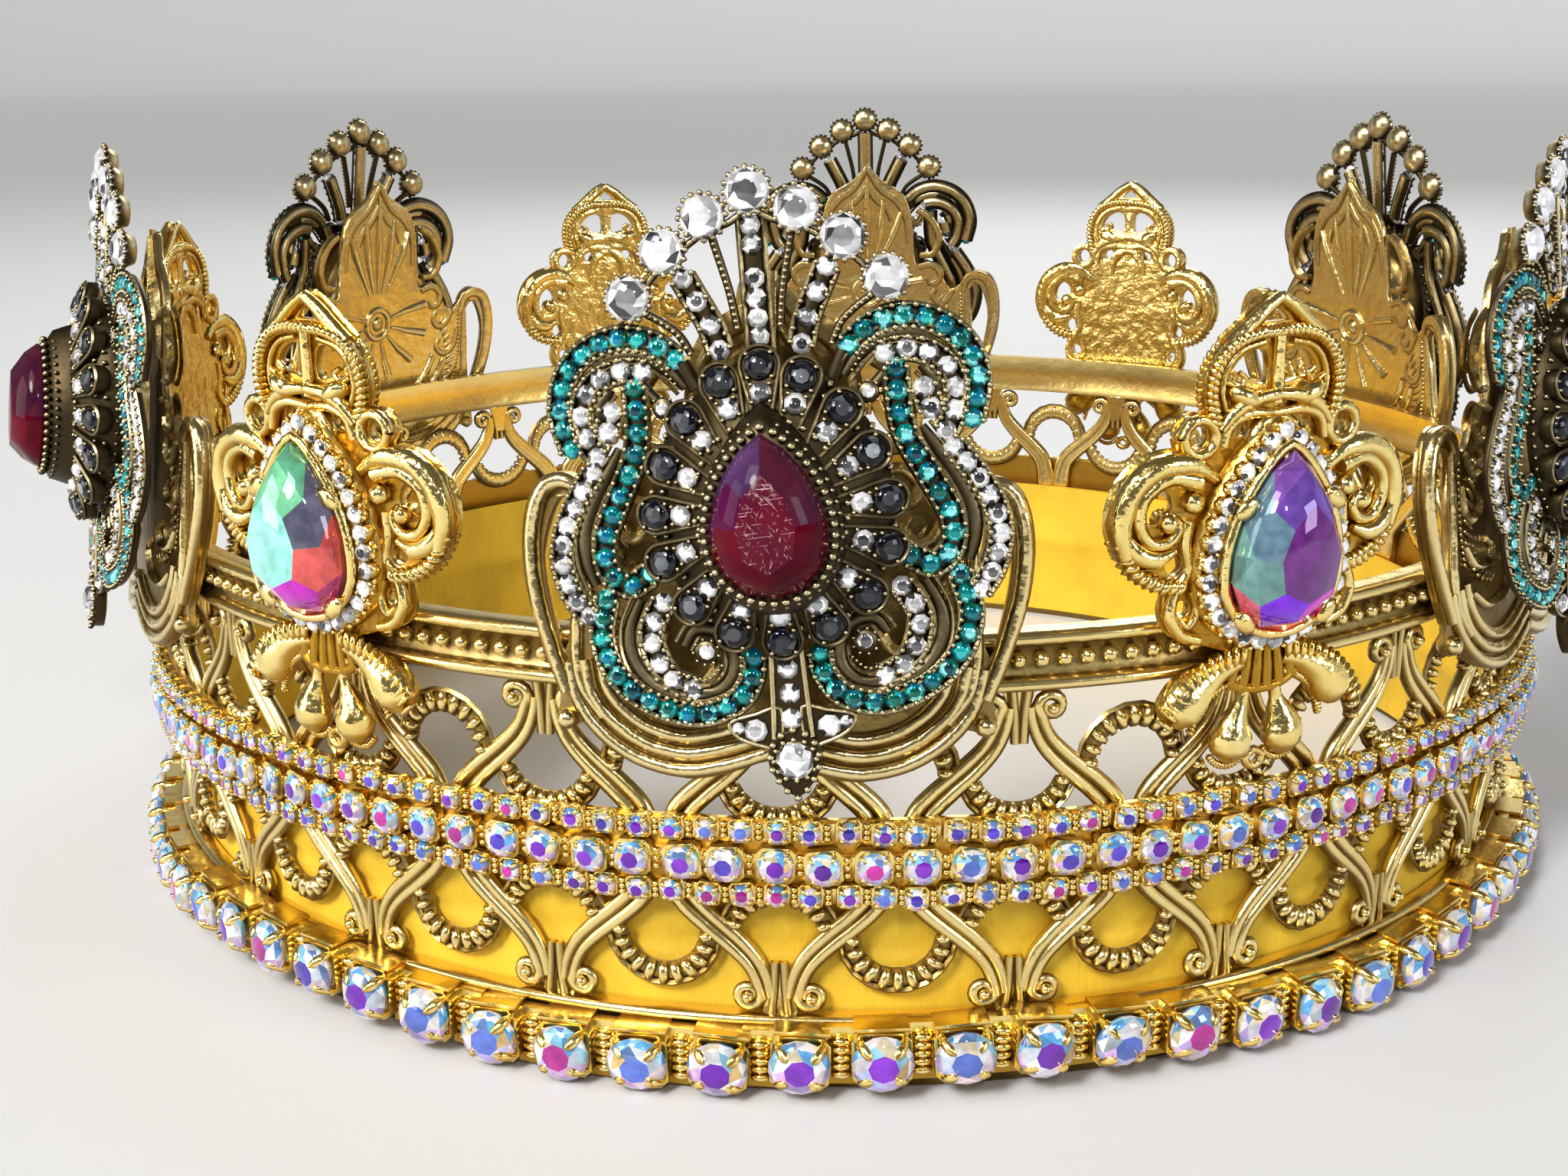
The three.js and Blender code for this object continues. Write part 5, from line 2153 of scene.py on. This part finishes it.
    def petal(self, place: Point) -> Stock:
        """One petal, laid flat, from the ruby's collar to its rounded end."""
        end = Route.curl((0, 0), (1.72, 1.72), (-95, 95), 11)
        edge = Route([(-4.6, -0.75)]) + end + Route([(-4.6, 0.75)])
        loop = Bench.wire(edge, 0.21, 0.12, 4).shaded_and_grimed(0, 0.75)
        rounds = ((0.25, 0, 1.5, 0.35), (0.23, -self.petal_step, 1.12, 0.3))
        claws = [
            row(bead(size), Route.curl((across, 0), (reach, reach), (45, 405), 5), 5, out)
            for size, across, reach, out in rounds
        ]
        plate = Bench.plate(edge, -1.3, 0.0, bevel=0.12).shaded_and_grimed(-0.3, 0.06)
        turn = Matrix.Rotation(-math.atan2(place[1], place[0]), 4, "Y")
        return pile([plate, loop, *claws]).moved(turn).shifted(*place)

    def flower(self) -> list[Stock]:
        """The petals, the skirt under them, dark with patina and painted shade, and the ruby's
        collar and beads.
        """
        ring = circle(32)
        skirt = Bench.rings([
            (ring * [a, b] + self.centre, out) for a, b, out in self.skirt
        ]).shaded_and_grimed(-0.3, 0.1)
        closed, grain = np.vstack([ring, ring[:1]]), bead(0.37)
        hoops = [
            row(grain, Route(closed * [a, b] + self.centre), count, out)
            for a, b, out, count in self.hoops
        ]
        petals = [self.petal(place) for place in self.petals]
        petals += [petal.mirrored() for petal, place in zip(petals, self.petals) if place[0]]
        shape, seat = self.ruby.shape, self.ruby.seat_r
        levels = ((1.32, 97.6), (1.2, seat - 0.9), (1.03, seat - 0.1))
        collar = Bench.rings([(shape.route(40, size).points, out) for size, out in levels])
        return [
            skirt,
            *hoops,
            pile(petals).lifted(self.dome),
            collar.shaded_and_grimed(-0.1, 0.3),
            row(Bench.ball(0.43, 6, 4).shaded_and_grimed(0.2, 1), shape.route(44, 1.0, 0.5), 42, seat + 0.05),
            row(Bench.ball(0.3, 5, 3).shaded_and_grimed(0.0, 0.8), shape.route(44, 1.0, 1.1), 42, seat - 0.95),
        ]

    def pendant(self) -> list[Stock]:
        """The column under the flower, the drop at its foot and the two leaves."""
        foot, level = 93.4, self.level
        leaf, drop = (Route.through(knots, 3, closed=True) for knots in (self.leaf, self.drop))
        leaves = pile([
            Bench.plate(leaf, foot, level, bevel=0.12).shaded_and_grimed(0, 0.2),
            Bench.wire(leaf, 0.22, level + 0.05, 6, closed=True).shaded_and_grimed(0.3, 1),
        ])
        side = Bench.wire(Route([(1.35, -12.4), (1.75, -21.4)]), 0.27, level + 0.3, 6).shaded_and_grimed(0.3, 1)
        brim = Route(np.vstack([drop.points, drop.points[:1]]) * [0.9, 1])
        return [
            Bench.plate(Route(self.column), foot, level + 0.2, bevel=0.12).shaded_and_grimed(0, 0.1),
            side,
            side.mirrored(),
            leaves,
            leaves.mirrored(),
            Bench.plate(drop, foot, level + 0.4, bevel=0.15).shaded_and_grimed(0, 0.2),
            row(Bench.ball(0.38, 6, 4).shaded_and_grimed(0.3, 1), brim, 15, level + 0.6),
            *self.bezel((0, self.drop_z), 1.95, 12),
        ]

    def stem(self) -> list[Stock]:
        """The fan's middle stem and the cup at its top."""
        bed = self.bed(((0, 14.6), (0, 20.0), (0, 26.4)), 1.15)
        return [*bed, *self.bezel(self.fan[0], 2.12, 16)]

    def stones(self, cutter: Cutter, glass: Glass) -> Stock:
        """Every stone of one kind, still flat.

        Args:
            cutter: cuts the stones.
            glass: which kind.

        Returns:
            All of them.
        """
        made = []
        for line in self.lines:
            if line.glass is glass:
                for across, up, _ in Route.through(line.knots).spread(line.count):
                    for side in (1, -1):
                        stone = cutter.stone(glass, line.radius)
                        made.append(stone.shifted(side * across, up, self.level + 0.15))
        black = glass is Glass.BLACK
        domed = []
        for across, up in self.petals:
            share = 1 if black else 1 - self.petal_step / math.hypot(across, up)
            for side in sides(across):
                stone = cutter.stone(glass, 1.38 if black else 1.0)
                domed.append(stone.shifted(side * across * share, up * share, 0.25))
        if glass is not Glass.TEAL:  # no petal holds a teal stone
            made.append(pile(domed).lifted(self.dome))
        if glass is Glass.CLEAR:
            loose = [(*place, 2.05, 0.75) for place in self.fan]
            loose += [(*single, 0.3) for single in self.singles]
            for across, up, radius, rise in (*loose, (0, self.drop_z, 1.75, 0.8)):
                for side in sides(across):
                    stone = cutter.stone(glass, radius)
                    made.append(stone.shifted(side * across, up, self.level + rise))
        return pile(made)

    def placed(self, stock: Stock, number: int) -> Stock:
        """Flat stock put in the place of one of the six brooches, counted from 0."""
        place = Matrix.Translation((self.strays[number], -STAND_OFF, MEDAL_Z))
        roll = Matrix.Rotation(-math.radians(self.rolls[number]), 4, "Y")
        flat = stock.moved(place @ roll @ Matrix.Diagonal((*self.trim, 1)))
        return leaning(flat.bent(0, self.bend_r), number / ORNAMENTS)

    def build(self, shop: Workshop, cutter: Cutter) -> None:
        """Makes the six brooches with their stones and rubies."""
        half = pile([*self.scrolls(), *self.crest()])
        metal = pile([half, half.mirrored(), *self.stem(), *self.flower(), *self.pendant()])
        # the brooch's back takes its full bright colour, without painted shade
        metal.relief = np.where(metal.points[:, 1] > -(self.level - 0.8), 1.3, metal.relief)
        ruby = self.ruby.cut(0.5, 0.86, 1.2)
        for i in range(ORNAMENTS):
            worked = self.placed(metal, i)
            shop.fit(f"brooch_metal_{i + 1}", worked, ANTIQUE_GOLD, [f"brooch_{i + 1}"])
            for glass in (Glass.CLEAR, Glass.TEAL, Glass.BLACK):
                stones = self.placed(self.stones(cutter, glass), i)
                shop.fit(f"brooch_{glass.name.lower()}_{i + 1}", stones, glass.value)
            gem = self.placed(self.ruby.wine(ruby, cutter), i)
            shop.fit(f"ruby_pear_{i + 1}", gem, RUBY, [f"ruby_{i + 1}"])


# ---------------------------------------------------------------- stage
@dataclass(frozen=True)
class Lamp:
    """A square soft box that faces the crown."""

    name: str
    place: tuple[float, float, float]  # where it stands, in metres
    size: float  # the length of its side, in metres
    watts: float
    colour: Colour

    def hung(self) -> None:
        """Puts the lamp in its place."""
        data = bpy.data.lights.new(self.name, "AREA")
        data.size, data.energy, data.color = self.size, self.watts, self.colour
        lamp = stood(self.name, data)
        lamp.location = self.place
        lamp.rotation_euler = (
            Vector((0, 0, 0.04)) - Vector(self.place)
        ).to_track_quat("-Z", "Y").to_euler()


@dataclass(frozen=True)
class Studio:
    """The camera, the floor and the lights."""

    lens: float = 44.11
    sensor: float = 36.0
    eye: tuple[float, float, float] = (16.75, -261.79, 99.73)
    swing: float = 5.28  # how far the camera is turned to its left, in degrees
    pitch: float = 15.457  # how far it looks down
    roll: float = -0.552
    flat: float = 7000.0  # radius of the floor's level part
    bend: float = 2500.0  # radius of the sweep at its edge
    top: float = 5000.0  # height of the wall behind it
    floor_colour: Colour = (0.64, 0.645, 0.65)
    room_colour: Colour = (0.76, 0.70, 0.60)
    room_light: float = 0.15
    sun: float = 2.6
    lamps: tuple[Lamp, ...] = (
        Lamp("key", (-0.40, -0.60, 0.75), 0.4, 4, (1, 0.97, 0.92)),
        Lamp("side", (-0.80, -0.35, 0.28), 0.5, 3, (1, 0.97, 0.90)),
        Lamp("fill", (0.75, -0.45, 0.30), 0.3, 2.0, (0.93, 0.96, 1)),
        Lamp("back", (0.1, 0.9, 0.7), 0.5, 4, (1, 1, 1)),
        Lamp("spark", (0.15, -0.75, 0.55), 0.05, 1.0, (1, 1, 1)),
    )

    def camera(self) -> None:
        """Sets the camera in front of the crown, a little above its rail."""
        swing, pitch, roll = (math.radians(a) for a in (self.swing, self.pitch, self.roll))
        data = bpy.data.cameras.new("camera")
        data.lens, data.sensor_width = self.lens, self.sensor
        data.clip_start = 0.01
        camera = stood("camera", data)
        turn = Matrix.Rotation(swing, 4, "Z") @ Matrix.Rotation(math.pi / 2 - pitch, 4, "X")
        camera.matrix_world = Matrix.Translation(Vector(self.eye) * MM) @ turn @ Matrix.Rotation(
            roll, 4, "Z"
        )
        bpy.context.scene.camera = camera

    def floor(self) -> None:
        """Lays the plain floor, which sweeps up far behind the crown."""
        turns = np.radians(np.arange(10, 91, 10))
        sweep = [(0.01, 0), (self.flat, 0)]
        sweep += [
            (self.flat + self.bend * math.sin(a), self.bend * (1 - math.cos(a))) for a in turns
        ]
        stock = Bench.hoop([*sweep, (self.flat + self.bend, self.top)], 64, closed=False)
        mesh = bpy.data.meshes.new("floor")
        mesh.from_pydata(stock.points * MM, [], np.split(stock.corners, stock.starts[1:]))
        floor = stood("floor", mesh)
        shader = Shader("floor")
        shader.set(Base_Color=self.floor_colour, Roughness=0.7)
        mesh.materials.append(shader.material)
        Bench.hold(floor)
        bpy.ops.object.shade_smooth_by_angle(angle=math.radians(30))

    def light(self) -> None:
        """Sets the light of the room, the sun and the lamps."""
        scene = bpy.context.scene
        world = bpy.data.worlds.new("room")
        world.use_nodes = True
        background = world.node_tree.nodes["Background"].inputs
        background["Color"].default_value = (*self.room_colour, 1)
        background["Strength"].default_value = self.room_light
        scene.world = world
        sun = bpy.data.lights.new("sky", "SUN")
        sun.energy, sun.angle = self.sun, math.radians(14)
        stood("sky", sun).rotation_euler = (math.radians(50), 0, math.radians(-28))
        for lamp in self.lamps:
            lamp.hung()
        scene.view_settings.view_transform = "Standard"
        scene.view_settings.exposure = 0.0

    def build(self) -> None:
        """Sets the stage."""
        self.camera()
        self.floor()
        self.light()


def main() -> None:
    """Sets the stage and builds the crown piece by piece, logging each piece's triangles."""
    logging.basicConfig(level=logging.INFO, format="%(name)s: %(message)s")
    Studio().build()
    shop = Workshop()
    cutter = Cutter()
    ScrollWall().build(shop)
    Lining().build(shop)
    BaseChain().build(shop, cutter)
    StoneBand().build(shop, cutter)
    Fleur().build(shop, cutter)
    MedalMount().build(shop)
    Brooch().build(shop, cutter)


if __name__ == "__main__":
    main()
